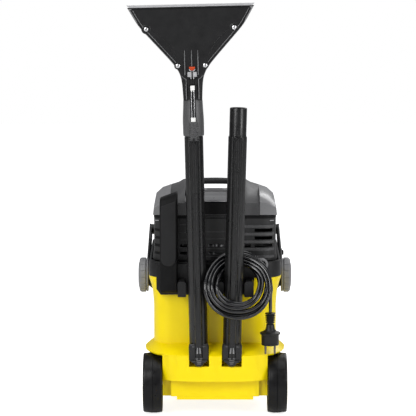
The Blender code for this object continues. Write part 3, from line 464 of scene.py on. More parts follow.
def metal(name, colour, roughness, stretch):
    """Plated or brushed metal: fine drawn lines along one axis and faint stains."""
    finish = Finish(name)
    lines = finish.noise(1.2, 4.0, 0.6, stretch)
    stain = finish.noise(9.0, 4.0)
    finish.feed("Base Color", finish.tint(finish.levels(stain, 0.0, 1.0), shade(colour, 0.85), colour))
    finish.feed("Roughness", finish.levels(lines, roughness - 0.08, roughness + 0.12))
    finish.feed("Normal", finish.bump(lines, 0.01, 0.5))
    finish.give({"Metallic": 1.0})
    return finish.made


def make_finishes(colours):
    """Every finish of the machine, by name."""
    return {
        "yellow": yellow_plastic(),
        "black": plastic("satin black", colours.black, 0.40, 0.8, 0.015, 0.2, 0.3),
        "tube": plastic("tube black", shade(colours.black, 0.62), 0.30, 0.6, 0.010, 0.15, 0.5),
        # A darker black, for dark parts and for the painted shadows in the waist groove and the corner slots.
        "deep": plastic("deep black", shade(colours.black, 0.5), 0.6, 0.8, 0.02, 0.2, 0.15),
        # Light grey plastic for painted highlights: the glints along the nozzle's edges and ribs, on the tube
        # feet's ridges and on the latch facets.
        "highlight_grey": plastic("light grey painted highlight", shade(colours.knob, 0.9), 0.24, 0.6, 0.006, 0.25, 0.6),
        "sleeve": plastic("dark grey", shade(colours.knob, 0.36), 0.36, 0.7, 0.012, 0.10, 0.4),
        "grained": grained_plastic("grained dark grey", shade(colours.grained, 0.85), 0.5, 1.3, 0.06),
        "housing": grained_plastic("grained black", shade(colours.grained, 0.18), 0.5, 1.3, 0.06),
        "flank": plastic("smooth grey", colours.flank, 0.33, 0.7, 0.008, 0.05, 0.5, 0.1),
        "knob": plastic("mid grey", colours.knob, 0.42, 0.8, 0.015, 0.08),
        "lip": plastic("light grey", colours.lip, 0.4, 0.8, 0.01, 0.06),
        "white": plastic("white fitting", (0.8, 0.8, 0.78), 0.35, 0.6, 0.006, 0.03),
        "orange": plastic("jet orange", (0.50, 0.055, 0.01), 0.35, 0.6, 0.006, 0.05),
        "tyre": rubber("wheel rubber", (0.0045, 0.0045, 0.005), 0.34, 6.0, 0.22),
        "cord": rubber("cord sheath", (0.004, 0.004, 0.005), 0.17, 4.0, 0.8),
        "steel": metal("plated steel", (0.66, 0.66, 0.67), 0.28, (0.1, 1.0, 1.0)),
        # Steel made dark as painted shade, for the plug pins.
        "pin": metal("steel darkened as painted shade", (0.16, 0.15, 0.15), 0.22, (1.0, 1.0, 0.1)),
        "motor": metal("drawn motor can", (0.55, 0.56, 0.58), 0.35, (1.0, 1.0, 0.08)),
    }


FINISH = {}


# ---------------------------------------------------------------- camera, light and floor

def make_camera(settings):
    """A long lens that looks at the middle of the machine from behind and a little above."""
    data = bpy.data.cameras.new("camera")
    camera = bpy.data.objects.new("camera", data)
    bpy.context.scene.collection.objects.link(camera)
    target = place((settings.target_x, TUBE_Y - 5.0, settings.target_z))
    rise = math.radians(settings.elevation)
    away = settings.distance * np.array([0.0, -math.cos(rise), math.sin(rise)])
    camera.location = target + away
    camera.rotation_euler = (math.pi / 2.0 - rise, 0.0, 0.0)
    data.lens = settings.lens
    data.sensor_width = 36.0
    data.clip_end = 50.0
    bpy.context.scene.camera = camera


def soft_light(name, spot, aim, size, power):
    """A square of light that faces a point."""
    data = bpy.data.lights.new(name, "AREA")
    data.shape = "RECTANGLE"
    data.size, data.size_y = size
    data.energy = power
    lamp = bpy.data.objects.new(name, data)
    bpy.context.scene.collection.objects.link(lamp)
    lamp.location = spot
    way = np.asarray(aim, float) - np.asarray(spot, float)
    flat = math.hypot(way[0], way[1])
    lamp.rotation_euler = (math.atan2(flat, -way[2]), 0.0, math.atan2(-way[0], way[1]))


def make_world(brightness):
    """An even pale surround: bright where it is looked at, softer where it lights the machine."""
    world = bpy.data.worlds.new("studio")
    world.use_nodes = True
    bpy.context.scene.world = world
    tree = world.node_tree
    sky = tree.nodes["Background"]
    sky.inputs["Color"].default_value = (0.96, 0.97, 1.0, 1.0)
    sky.inputs["Strength"].default_value = brightness
    seen = tree.nodes.new("ShaderNodeBackground")
    seen.inputs["Color"].default_value = (1.0, 1.0, 1.0, 1.0)
    seen.inputs["Strength"].default_value = 1.0
    path = tree.nodes.new("ShaderNodeLightPath")
    mix = tree.nodes.new("ShaderNodeMixShader")
    tree.links.new(path.outputs["Is Camera Ray"], mix.inputs[0])
    tree.links.new(sky.outputs[0], mix.inputs[1])
    tree.links.new(seen.outputs[0], mix.inputs[2])
    tree.links.new(mix.outputs[0], tree.nodes["World Output"].inputs["Surface"])


FLOOR_REACH = 6.0
FLOOR_GLOW = 0.84


def make_floor():
    """A wide pale floor in slightly mottled matt paint, which glows only where the camera sees it."""
    u = np.linspace(-FLOOR_REACH, FLOOR_REACH, 9)
    x, y = np.meshgrid(u, u)
    grid = np.stack([x, y, np.full_like(x, -0.0005)], axis=-1)
    mesh = bpy.data.meshes.new("floor")
    mesh.from_pydata(grid.reshape(-1, 3), [], grid_faces(9, 9, False, False))
    paint = Finish("floor paint")
    mottle = paint.levels(paint.noise(300.0), 0.0, 1.0)
    paint.feed("Base Color", paint.tint(mottle, (0.86, 0.86, 0.86), (0.90, 0.90, 0.90)))
    paint.give({"Roughness": 0.75, "Emission Color": (1.0, 1.0, 1.0, 1.0)})
    seen = paint.add("ShaderNodeMath", operation="MULTIPLY")
    paint.join(paint.add("ShaderNodeLightPath").outputs["Is Camera Ray"], seen.inputs[0])
    seen.inputs[1].default_value = FLOOR_GLOW
    paint.feed("Emission Strength", seen.outputs[0])
    mesh.materials.append(paint.made)
    floor = bpy.data.objects.new("floor", mesh)
    bpy.context.scene.collection.objects.link(floor)


LIGHTS = (
    # name, place, where it faces, size, share of the key light's power
    ("key", (-1.6, -2.4, 2.3), (0.0, 0.0, 0.4), (1.6, 1.6), 1.0),
    ("fill", (2.2, -2.0, 1.4), (0.0, 0.0, 0.35), (1.2, 1.8), 0.5),
    ("front key", (1.4, 2.4, 2.2), (0.0, 0.0, 0.35), (1.6, 1.6), 0.6),
    ("top", (0.0, -0.3, 2.9), (0.0, 0.0, 0.2), (1.8, 1.8), 0.5),
    ("left strip", (-1.5, -1.9, 0.9), (0.0, -0.15, 0.35), (0.14, 1.5), 0.16),
    ("right strip", (1.35, -1.5, 1.1), (0.0, -0.15, 0.4), (0.12, 1.4), 0.10),
)


def make_stage(settings):
    """Camera, world, four soft lights, two narrow ones that draw the edges, and the floor."""
    make_camera(settings)
    make_world(settings.surround)
    for name, spot, aim, size, share in LIGHTS:
        soft_light(name, spot, aim, size, settings.key * share)
    make_floor()
    bpy.context.scene.view_settings.view_transform = "Standard"


# ---------------------------------------------------------------- power cord and plug

CORD_DIAMETER = 7.0
COIL_X, COIL_Z = 46.0, 279.0
COIL_RADIUS_X, COIL_RADIUS_Z = 56.0, 50.0
COIL_BEHIND_Y, COIL_FRONT_Y = -157.0, -220.0
LEAD_ROUTE = ((97.5, -143.0, 315.6), (98.2, -148.5, 312.8), (98.9, -154.0, 309.4), (99.6, -159.0, 305.6))
DROP_ROUTE = ((113.0, -192.0, 250.0), (113.0, -192.0, 240.0), (112.9, -192.0, 230.0), (112.8, -192.0, 220.8))
PLUG_X, PLUG_Y = 112.8, -192.0
PIN_OFFSET = 9.5
# Each turn's place in the bundle (outwards, behind), from the first to the last, and the place of the drop.
TURN_PLACES = ((9.5, 3.6), (2.5, 3.6), (-4.5, 3.6), (-11.0, 3.4), (-11.0, -3.6), (-4.0, -3.6), (3.0, -3.6),
               (10.0, -3.4), (11.5, 1.0))
TURN_SHIFT = 0.20
ROUTE_POINTS, FINE_POINTS = 620, 1500
SETTLE_ROUNDS = 90
NEIGHBOURS, HELD_POINTS = 6, 9
HOLDER_REAR, HOLDER_TOP = -153.3, 317.0
TUBE_KEEP_OUT, RIDGE_KEEP_OUT, RIDGE_HALF = 22.9, 26.8, 11.0


def coil_depth(angle):
    """How far back the bundle lies at an angle in degrees: behind the tube at its top, in front below."""
    angle = np.mod(angle, 360.0)
    travel = COIL_BEHIND_Y - COIL_FRONT_Y
    forward = 0.5 - 0.5 * np.cos(np.pi * np.clip((angle - 100.0) / 100.0, 0.0, 1.0))
    back = 0.5 - 0.5 * np.cos(np.pi * np.clip(np.mod(80.0 - angle, 360.0) / 150.0, 0.0, 1.0))
    left = (angle >= 80.0) & (angle <= 245.0)
    return COIL_BEHIND_Y - travel * np.where(left, forward, back)


def bundle(angle, outwards, behind):
    """Points of the bundle: its middle ellipse at an angle, moved outwards in the loop and to the back."""
    a = np.radians(angle)

    def middle_line(degrees):
        r = np.radians(degrees)
        x, z = COIL_X + COIL_RADIUS_X * np.cos(r), COIL_Z + COIL_RADIUS_Z * np.sin(r)
        return np.stack([x, coil_depth(degrees), z], axis=-1)

    tangent = middle_line(angle + 1.0) - middle_line(angle - 1.0)
    tangent /= np.linalg.norm(tangent, axis=-1, keepdims=True)
    out = np.stack([np.cos(a), np.zeros_like(a), np.sin(a)], axis=-1)
    out -= tangent * np.sum(out * tangent, axis=-1, keepdims=True)
    out /= np.linalg.norm(out, axis=-1, keepdims=True)
    across = np.cross(tangent, out)
    across *= np.sign(across[..., 1:2] + 1e-9)
    return middle_line(angle) + out * outwards[..., None] + across * behind[..., None]


def coil_path(turns):
    """The cord's whole route: the lead, the turns one beside the other in the bundle, and the drop.

    Each turn keeps to its own place in the bundle, moves to the next place while it passes the right-hand
    side, and wanders a little on its way, more at the bottom, where the loops hang apart.
    """
    places = np.array(TURN_PLACES)
    start, end = 2.0, -6.0 - 360.0 * turns
    angle = np.linspace(start, end, int((start - end) / 4.0))
    travelled = (start - angle) / 360.0
    turn = np.clip(travelled.astype(int), 0, turns - 1)
    share = smooth_step((travelled - turn - (1.0 - TURN_SHIFT)) / TURN_SHIFT)[:, None]
    spot = places[turn] * (1.0 - share) + places[turn + 1] * share
    sag = np.clip(-np.sin(np.radians(angle)), 0.0, 1.0)
    drift = 1.3 * np.sin(np.radians(angle * 2.0 + turn * 77.0))
    drift = drift + 2.4 * np.sin(np.radians(angle + turn * 131.0))
    outwards = spot[:, 0] * (1.0 + 0.22 * sag) + drift * (1.0 - share[:, 0])
    behind = spot[:, 1] + 0.5 * np.sin(np.radians(angle + turn * 57.0))
    loops = bundle(angle, outwards, behind)
    loops = loops[(travelled > 0.03) & (angle > end + 1.0)]
    route = np.vstack([LEAD_ROUTE, loops, DROP_ROUTE])
    return settle(even_run(route, ROUTE_POINTS))


def settle(path):
    """Push stretches of cord that lie in each other apart, keep them off the tubes, and relax their bends."""
    home = path
    count = len(path)
    index = np.arange(count)
    apart = np.abs(index[:, None] - index[None, :]) > NEIGHBOURS
    pinned = (index < HELD_POINTS) | (index >= count - HELD_POINTS)
    for _ in range(SETTLE_ROUNDS):
        gap = path[:, None, :] - path[None, :, :]
        distance = np.linalg.norm(gap, axis=-1) + 1e-9
        lack = np.clip(CORD_DIAMETER + 0.1 - distance, 0.0, None) * apart
        push = np.sum(gap / distance[..., None] * (lack * 0.5)[..., None], axis=1)
        hits = np.maximum(np.sum(lack > 0.0, axis=1), 1)[:, None]
        move = push / hits
        bent = np.zeros_like(path)
        bent[1:-1] = (path[2:] + path[:-2]) / 2.0 - path[1:-1]
        move = move * 1.1 + bent * 0.12 + (home - path) * 0.05
        move[pinned] = 0.0
        path = path + move
        path = keep_clear(path, pinned)
    return path


def keep_clear(path, pinned):
    """Hold the cord off both tubes, off the tube holder behind it and off its lugs."""
    clear = path.copy()
    for foot, lean in TUBES.values():
        axis_x = foot + (path[:, 2] - TUBE_FOOT_Z) * math.tan(lean)
        dx, dy = path[:, 0] - axis_x, path[:, 1] - TUBE_Y
        reach = np.hypot(dx, dy)
        on_ridge = (np.abs(dx) < RIDGE_HALF) & (dy < 0.0)
        wanted = np.where(on_ridge, RIDGE_KEEP_OUT, TUBE_KEEP_OUT)
        grow = np.where(reach < wanted, wanted / np.maximum(reach, 1e-6), 1.0)
        clear[:, 0] = axis_x + dx * grow
        clear[:, 1] = TUBE_Y + dy * grow
    inside = (clear[:, 1] > HOLDER_REAR) & (clear[:, 2] < HOLDER_TOP)
    clear[:, 1] = np.where(inside, HOLDER_REAR, clear[:, 1])
    clear[pinned] = path[pinned]
    return clear


def make_cord(settings):
    """The mains cord as one tube along its route, with the plug and its pins."""
    fine = even_run(coil_path(settings.turns), FINE_POINTS)
    for _ in range(3):
        fine[1:-1] = (fine[:-2] + 2.0 * fine[1:-1] + fine[2:]) / 4.0
    tangent = np.gradient(fine, axis=0)
    tangent /= np.linalg.norm(tangent, axis=1, keepdims=True)
    side_way = np.cross(tangent, np.array([0.31, -0.62, 0.72]))
    side_way /= np.linalg.norm(side_way, axis=1, keepdims=True)
    other = np.cross(tangent, side_way)
    ring = circle(CORD_DIAMETER / 2.0, 14)
    grid = fine[:, None] + side_way[:, None] * ring[None, :, :1] + other[:, None] * ring[None, :, 1:2]
    cord = make_piece("mains_cord", [skin(grid)], "cord", "head",
                      replaces=("cord_lead", "cord_coil", "cord_drop"), sharp=60.0)
    plug, pins = make_plug(), make_pins()


def make_plug():
    """A moulded two-pin plug: ribbed strain relief, tapered grip, wide guard flange and round face."""
    relief_top, relief_low, ribs = 220.2, 197.5, 5
    pitch = (relief_top - relief_low) / ribs
    profile = [(0.0, relief_top + 0.2), (3.6, relief_top + 0.2)]
    for rib in range(ribs):
        z = relief_top - rib * pitch
        wide = 10.6 - 0.35 * rib
        profile += [(wide - 0.6, z), (wide, z - 0.5), (wide, z - 1.7), (wide - 0.7, z - 2.2), (6.3, z - 2.5),
                    (6.3, z - pitch + 0.2)]
    profile += [(9.2, 196.8), (9.8, 196.0), (10.4, 190.0), (12.2, 185.0), (15.0, 181.6), (19.6, 180.2),
                (20.8, 179.4), (21.0, 178.0), (20.6, 176.6), (19.6, 175.8), (18.3, 175.2), (18.0, 174.0),
                (18.0, 160.4), (17.4, 158.0), (18.2, 157.6), (18.2, 155.0), (17.6, 154.0), (0.0, 154.0)]

    def flats(angle, radius, run):
        """Grip hollows on two sides of the tapered part."""
        grip = np.clip(np.cos(2.0 * angle), 0.0, 1.0) * 1.6 * ((run > 183.0) & (run < 196.9))
        return grip * (radius > 9.0)

    body = revolve(profile, "Z", (PLUG_X, PLUG_Y, 0.0), 56, notch=flats)
    return make_piece("plug", [body], "black", "head", replaces=("plug_body",), sharp=40.0)


def make_pins():
    """Two round pins with rounded tips and insulating collars."""
    pins = []
    tip = [(2.1 * math.sin(a), 136.1 - 2.1 * math.cos(a)) for a in np.linspace(0.0, math.pi / 2.0, 6)]
    outline = tip + [(2.1, 144.0), (2.4, 144.4), (2.4, 153.9), (0.0, 153.9)]
    for side, sign in SIDES:
        pin = revolve(outline, "Z", (PLUG_X + sign * PIN_OFFSET, PLUG_Y, 0.0), 20)
        pins.append(make_piece("pin_" + side, [pin], "pin", "head", replaces=("plug_pin_" + side,)))
    return pins


# ---------------------------------------------------------------- suction tubes

RADIUS = 19.0
RIDGE_Y, CHANNEL_DEPTH = -22.9, 1.5
OUTLINE_STEPS = 120


def tube_section():
    """A tube's outside: a circle of flutes with a flat-topped channel ridge along its rear.

    Narrow grooves are cut where the flutes meet; on the rear the wall stands out to a ridge with a
    shallow middle channel.
    """
    angle = np.linspace(0.0, TAU, OUTLINE_STEPS, endpoint=False) - math.pi / 2.0
    radius = RADIUS - 0.45 * np.exp(-((np.abs(np.sin((angle + math.pi / 2.0) * 6.0)) / 0.16) ** 2))
    x, y = radius * np.cos(angle), radius * np.sin(angle)
    rear = y < 0.0
    ridge = smooth_step((8.0 - np.abs(x)) / 2.2)
    channel = smooth_step((3.6 - np.abs(x)) / 1.0)
    y = np.where(rear, y * (1.0 - ridge) + (RIDGE_Y + CHANNEL_DEPTH * channel) * ridge, y)
    return np.column_stack([x, y])


# Half outlines of the foot's shoe and of the nub below it, as (across, up the tube).
SHOE_HALF = [(19.4, 46.0), (20.4, 40.0), (20.4, 13.4), (19.4, 11.6), (16.4, 9.0)]
NUB_HALF = [(15.8, 12.6), (15.4, 9.6), (10.2, 6.9), (8.2, 3.0), (5.2, 0.9), (2.4, 0.2)]


# The tube's wall from the foot up: (up the tube, share of the fluted outline, radius of the round rest),
# and its bore from the top down: (up the tube, radius).
WALL_ROWS = ((11.2, 0.0, 17.9), (11.5, 0.3, 18.4), (12.8, 1.0, 18.9), (465.0, 1.0, 19.0), (470.2, 1.0, 19.0),
             (470.9, 0.35, 18.6), (471.0, 0.0, 17.6), (472.0, 0.0, 17.5), (527.6, 0.0, 17.4),
             (528.7, 0.0, 17.0), (529.0, 0.0, 16.4))
BORE_ROWS = ((528.6, 15.95), (470.0, 15.9), (64.0, 15.9), (62.0, 17.6), (11.4, 17.7))
# The foot's two slabs: half outline, rear, front, chamfer.
FOOT_SLABS = ((SHOE_HALF, -17.6, -8.0, 2.2), (NUB_HALF, -22.7, -12.0, 1.1))


def make_tube(side):
    """One suction tube: fluted body, plain male end, shoe and nub at its foot with small ridges made light
    grey as painted highlights, and a latch.

    Only the right tube, whose male end is free, has the end's guide ribs and catch.
    """
    outline = tube_section()
    round_line = outline / np.linalg.norm(outline, axis=1, keepdims=True)
    rows = []
    for w, share, radius in WALL_ROWS:
        ring = outline * share + round_line * radius * (1.0 - share)
        rows.append(np.column_stack([ring, np.full(len(ring), w)]))
    for w, radius in BORE_ROWS:
        rows.append(np.column_stack([round_line * radius, np.full(len(round_line), w)]))
    parts = [skin(along_tube(np.array(rows), side), wrap_rows=True)]
    for half_outline, rear, front, chamfer in FOOT_SLABS:
        slab = np.array(half_outline + [(-x, w) for x, w in reversed(half_outline)])
        points, faces = extrude(slab, "Y", rear, front, chamfer)
        parts.append((along_tube(points, side), faces))
    # Small ridges on the foot and nub, made light grey as painted highlights.
    highlight_ridges = []
    for x in (-4.4, 4.4):
        highlight_ridges.append(boxed(side, (x - 2.6, -24.3, 16.0), (x + 2.6, -22.0, 17.4), 0.6))
    for w, half in ((12.6, 5.6), (9.2, 4.6), (6.0, 3.6)):
        highlight_ridges.append(boxed(side, (-half, -23.9, w - 0.6), (half, -21.0, w + 0.6), 0.55))
    for x in (-10.6, 10.6):
        highlight_ridges.append(boxed(side, (x - 3.0, -17.8, 40.0), (x + 3.0, -14.8, 41.0), 0.4))
    make_piece("foot_highlight_ridges_" + side, highlight_ridges, "highlight_grey", "tube_" + side, sharp=30.0)
    if side == "right":
        parts.append(boxed(side, (-1.5, -18.9, 472.0), (1.5, -17.0, 489.0), 0.7))
        parts.append(boxed(side, (-6.2, -18.6, 472.4), (6.2, -16.4, 475.0), 0.8))
        parts.append(boxed(side, (-3.2, -24.0, 462.0), (3.2, -22.0, 470.6), 0.9))
    make_piece("suction_tube_skin_" + side, parts, "tube", "tube_" + side,
               replaces=("suction_tube_" + side,), sharp=28.0)
    make_latch(side)


def boxed(side, low, high, radius):
    """A small rounded block in a tube's own frame."""
    points, faces = rounded_box(low, high, radius)
    return along_tube(points, side), faces


# Levels of a latch: (up the tube, half width, how far its face is to the rear).
LATCH_ROWS = ((18.7, 4.6, -23.6), (19.4, 5.3, -24.6), (23.0, 5.2, -25.3), (36.0, 3.5, -24.4),
              (39.6, 3.1, -23.2), (40.3, 2.7, -22.4))
LATCH_BACK = -21.6


def make_latch(side):
    """The tapered push latch at a tube's foot: a dark grooved body and a light grey facet on either side, a
    painted highlight.
    """
    rows = []
    for w, half, out in LATCH_ROWS:
        groove = half * 0.34
        line = [(-half, LATCH_BACK), (-half, out + 1.0), (-half * 0.8, out), (-groove, out + 0.3),
                (-groove * 0.6, out + 1.9), (groove * 0.6, out + 1.9), (groove, out + 0.3), (half * 0.8, out),
                (half, out + 1.0), (half, LATCH_BACK)]
        rows.append([(x, y, w) for x, y in line])
    make_piece("latch_face_" + side, [skin(along_tube(np.array(rows), side))], "tube", "latch_" + side,
               replaces=("tube_latch_" + side,), sharp=24.0)
    # The two facets are made light grey as painted highlights.
    facets = []
    for sign in (-1.0, 1.0):
        facet = np.array([(sign * 1.3, 27.6), (sign * 5.0, 27.6), (sign * 3.3, 39.8), (sign * 1.1, 39.8)])
        points, faces = extrude(facet, "Y", -25.9, -23.8, 0.5)
        facets.append((along_tube(points, side), faces))
    make_piece("latch_facets_" + side, facets, "highlight_grey", "latch_" + side, sharp=24.0)


# ---------------------------------------------------------------- floor nozzle

def soft_ramp(t):
    """A ramp that bends smoothly from flat to a slope of one: log(1 + e^t)."""
    return np.logaddexp(0.0, t)


NECK_TOP, MOUTH = 545.0, 733.0
SHELL_REAR, SHELL_WALL = -17.0, 2.4


def nozzle_half(w):
    """Half width of the nozzle: a straight neck that swings out to its sides, which steepen near the lip."""
    w = np.asarray(w, dtype=float)
    swing = 0.86 * 9.0 * soft_ramp((w - 602.0) / 9.0)
    steepen = 0.34 * 5.0 * soft_ramp((w - 697.0) / 5.0)
    return 19.0 + 0.04 * (w - NECK_TOP) + swing - steepen


def nozzle_front(w):
    """Depth of the nozzle's front wall, which comes in towards the lip."""
    return np.interp(w, (NECK_TOP, 585.0, 615.0, 697.0, MOUTH), (19.0, 17.0, 14.0, 3.0, -3.0))


def nozzle_piece(name, parts, finish, replaces=(), sharp=35.0):
    """A piece of the nozzle from surfaces in the left tube's frame."""
    placed = [(along_tube(points, "left"), faces) for points, faces in parts]
    make_piece(name, placed, finish, "nozzle", replaces, sharp)


def make_nozzle_shell():
    """The grey shell: a stack of rounded outlines from the round neck to the wide flat mouth, hollow."""
    spans = ((545.3, 570.0, 4), (576.0, 640.0, 17), (655.0, MOUTH, 12))
    heights = np.concatenate([np.linspace(*span) for span in spans])
    rows = []
    for inset, levels in ((0.0, heights), (SHELL_WALL, heights[::-1])):
        for w in levels:
            radius = np.interp(w, (NECK_TOP, 600.0, MOUTH), (9.0, 7.0, 4.0)) - inset * 0.8
            half, front = float(nozzle_half(w)), float(nozzle_front(w))
            ring = plan(half - inset, SHELL_REAR + inset, front - inset, radius, 5)
            rows.append(np.column_stack([ring, np.full(len(ring), w)]))
    nozzle_piece("nozzle_body", [skin(np.array(rows), wrap_rows=True)], "black",
                 replaces=("nozzle_shell",), sharp=40.0)


def make_nozzle_edges():
    """Painted highlights as light grey strips: the shell's silhouette and corner facets, the cover's lines,
    rails and ribs.
    """
    parts = []
    for sign in (-1.0, 1.0):
        w = np.linspace(606.0, 730.0, 40)
        edge = np.column_stack([sign * (nozzle_half(w) - 1.0), np.full_like(w, SHELL_REAR), w])
        parts.append(sweep(edge, bead(1.5, 1.2)))
        high = np.linspace(699.0, 731.0, 8)
        outer = np.column_stack([nozzle_half(high) - 0.6, high])
        inner = np.column_stack([nozzle_half(high) - 2.0 - 5.0 * smooth_step((high - 699.0) / 20.0), high])
        facet = np.vstack([outer, inner[::-1]]) * np.array([sign, 1.0])
        parts.append(extrude(facet, "Y", -19.6, -16.9, 0.5))
        run = np.linspace(622.0, 728.0, 30)
        line = np.column_stack([sign * (nozzle_half(run) - 8.0), np.full_like(run, -20.1), run])
        parts.append(sweep(line, bead(1.0, 0.9)))
        rail = sign * 12.6
        parts += blocks(((rail - 0.6, -21.6, 548.0), (rail + 0.6, -19.0, 588.0), 0.4))
        bend = ((12.0, 588.0), (17.0, 591.0), (21.5, 595.5))
        hook = curve_through([(sign * x, -20.6, at) for x, at in bend], 10)
        parts.append(sweep(hook, bead(0.9, 0.9)))
    for x, low in ((-14.5, 597.0), (-0.5, 614.5), (12.2, 597.0)):
        run = np.linspace(low, 646.5, 12)
        taper = 1.0 - 0.5 * smooth_step((run - 634.0) / 12.0)
        crest = np.column_stack([np.full_like(run, x), np.full_like(run, -20.0), run])
        parts.append(sweep(crest, bead(2.2, 3.4), scale=taper))
    nozzle_piece("nozzle_highlight_edges", parts, "highlight_grey", sharp=40.0)


SCREWS = ((-90.0, 690.0), (-28.5, 615.5), (26.5, 615.5), (86.0, 690.0))
BOSS = ((0.0, -19.8), (9.6, -19.8), (8.6, -20.7), (7.2, -21.0), (6.8, -20.4), (5.4, -20.4), (5.2, -21.2),
        (0.0, -21.2))
INNER_BOSS = 0.74
PANEL_LINE = ((80.0, 688.0), (62.0, 677.0), (46.0, 658.0), (35.0, 637.0), (31.0, 625.0))


def make_nozzle_cover():
    """The black cover plate with its curved panel lines, screw bosses and the ribbed catch on the neck."""
    w = np.concatenate([np.linspace(578.0, 640.0, 24), np.linspace(646.0, 729.0, 14)])
    half = nozzle_half(w) - 3.4
    outline = np.vstack([np.column_stack([half, w]), np.column_stack([-half, w])[::-1]])
    parts = [extrude(outline, "Y", -17.3, -20.2)]
    for sign in (-1.0, 1.0):
        line = curve_through([(sign * x, -20.1, at) for x, at in PANEL_LINE], 26)
        parts.append(sweep(line, bead(0.9, 0.6)))
    for x, at in SCREWS:
        boss = np.array(BOSS)
        boss[:, 0] *= 1.0 if at > 650.0 else INNER_BOSS
        parts.append(revolve(boss, "Y", (x, 0.0, at), 36))
    parts += blocks(((-10.6, -23.6, 578.6), (10.6, -19.6, 586.6), 1.2))
    for x in (-6.9, -2.3, 2.3, 6.9):
        parts += blocks(((x - 1.3, -24.8, 577.6), (x + 1.3, -23.0, 587.4), 0.8))
    parts += blocks(((-9.0, -19.6, 546.0), (9.0, -16.6, 579.0), 0.8))
    nozzle_piece("nozzle_plate", parts, "black",
               replaces=("nozzle_cover",), sharp=32.0)


def make_nozzle_screws():
    """Four pan-head screws: a low dome with a cross cut into it."""
    for number, (x, w) in enumerate(SCREWS, start=1):
        radius = np.linspace(0.0, 4.1, 12)
        dome = -22.9 + 0.06 * radius ** 2
        profile = np.vstack([np.column_stack([radius, dome]), [(4.15, -21.3), (0.0, -21.3)]])
        points, faces = revolve(profile, "Y", (0.0, 0.0, 0.0), 48)
        a, b = points[:, 0], points[:, 2]
        cross = ((np.abs(a) < 0.55) | (np.abs(b) < 0.55)) & (np.hypot(a, b) < 2.5) & (points[:, 1] < -21.6)
        points[:, 1] += np.where(cross, 0.9, 0.0)
        points = points + np.array([x, 0.0, w])
        nozzle_piece("cover_screw_%d" % number, [(points, faces)], "steel",
                     replaces=("nozzle_screw_%d" % number,), sharp=30.0)


LIP_HALF, LIP_TOP = 128.4, 4.8
# The lip's section as (above the mouth, depth).
LIP_SECTION = ((0.0, -20.2), (0.0, -14.5), (0.6, -14.4), (4.0, -14.4), (4.6, -15.0), (LIP_TOP, -17.0),
               (4.6, -19.8), (4.0, -20.3), (0.6, -20.3))


def make_nozzle_lip():
    """The light lip strip, its long edges rounded and its ends drawn to points beyond the shell."""
    rise, depth = np.array(LIP_SECTION).T
    rows = []
    for share in np.linspace(-1.0, 1.0, 41):
        at = share * LIP_HALF
        slant = at - np.sign(at) * (LIP_TOP - rise) * 1.2 * smooth_step((abs(share) - 0.9) / 0.1)
        rows.append(np.column_stack([slant, depth, MOUTH + 0.3 + rise]))
    nozzle_piece("lip_strip", [skin(np.array(rows))], "lip", replaces=("nozzle_lip",), sharp=30.0)


SLEEVE_LOW, SLEEVE_TOP, SLEEVE_RADIUS, SLEEVE_WALL = 473.0, 548.0, 21.3, 1.9
CHANNEL_HALF = 5.8


def make_nozzle_sleeve():
    """Two grey half shells round the neck with pointed tops, the black channel between them, the boot."""
    parts = []
    spread = np.linspace(0.0, 1.0, 26)
    start, end = math.asin(CHANNEL_HALF / SLEEVE_RADIUS), math.pi - 0.02
    angle = start + (end - start) * spread
    top = SLEEVE_TOP + 11.0 * np.exp(-((spread / 0.10) ** 2)) - 2.5 * spread
    for sign in (-1.0, 1.0):
        rows = []
        for inset, shares in ((0.0, np.linspace(0.0, 1.0, 15)), (SLEEVE_WALL, np.linspace(1.0, 0.0, 15))):
            for share in shares:
                w = SLEEVE_LOW + (top - SLEEVE_LOW) * share
                edge = 0.5 if share in (0.0, 1.0) and inset == 0.0 else 0.0
                radius = SLEEVE_RADIUS - 1.7 * smooth_step((w - 500.0) / 45.0) - inset - edge
                rows.append(np.stack([sign * radius * np.sin(angle), -radius * np.cos(angle), w], axis=-1))
        parts.append(skin(np.swapaxes(np.array(rows), 0, 1)))
    nozzle_piece("neck_sleeve", parts, "sleeve", replaces=("nozzle_sleeve",), sharp=38.0)
    rings = [(0.0, 464.0)]
    for w in 464.0 + 4.3 * np.arange(9):
        rings += [(7.4, w), (10.3, w + 0.9), (10.3, w + 1.6), (7.4, w + 2.6)]
    rings += [(7.4, 503.0), (0.0, 503.2)]
    points, faces = revolve(rings, "Z", (0.0, 0.0, 0.0), 40)
    points[:, 1] = points[:, 1] * 0.42 - 21.2
    nozzle_piece("neck_boot", [(points, faces)], "sleeve", sharp=30.0)
    lining = [(17.9, 475.0), (19.0, 475.0), (18.9, 500.0), (17.9, 547.0), (17.2, 547.0), (17.5, 500.0)]
    dark = [revolve(lining, "Z", (0.0, 0.0, 0.0), 64, closed=True)]
    dark += blocks(((-1.7, -27.2, 459.0), (1.7, -22.0, 470.0), 0.9),
                   ((-6.4, -26.0, 461.5), (6.4, -22.0, 464.0), 0.8))
    nozzle_piece("neck_channel", dark, "black", sharp=32.0)


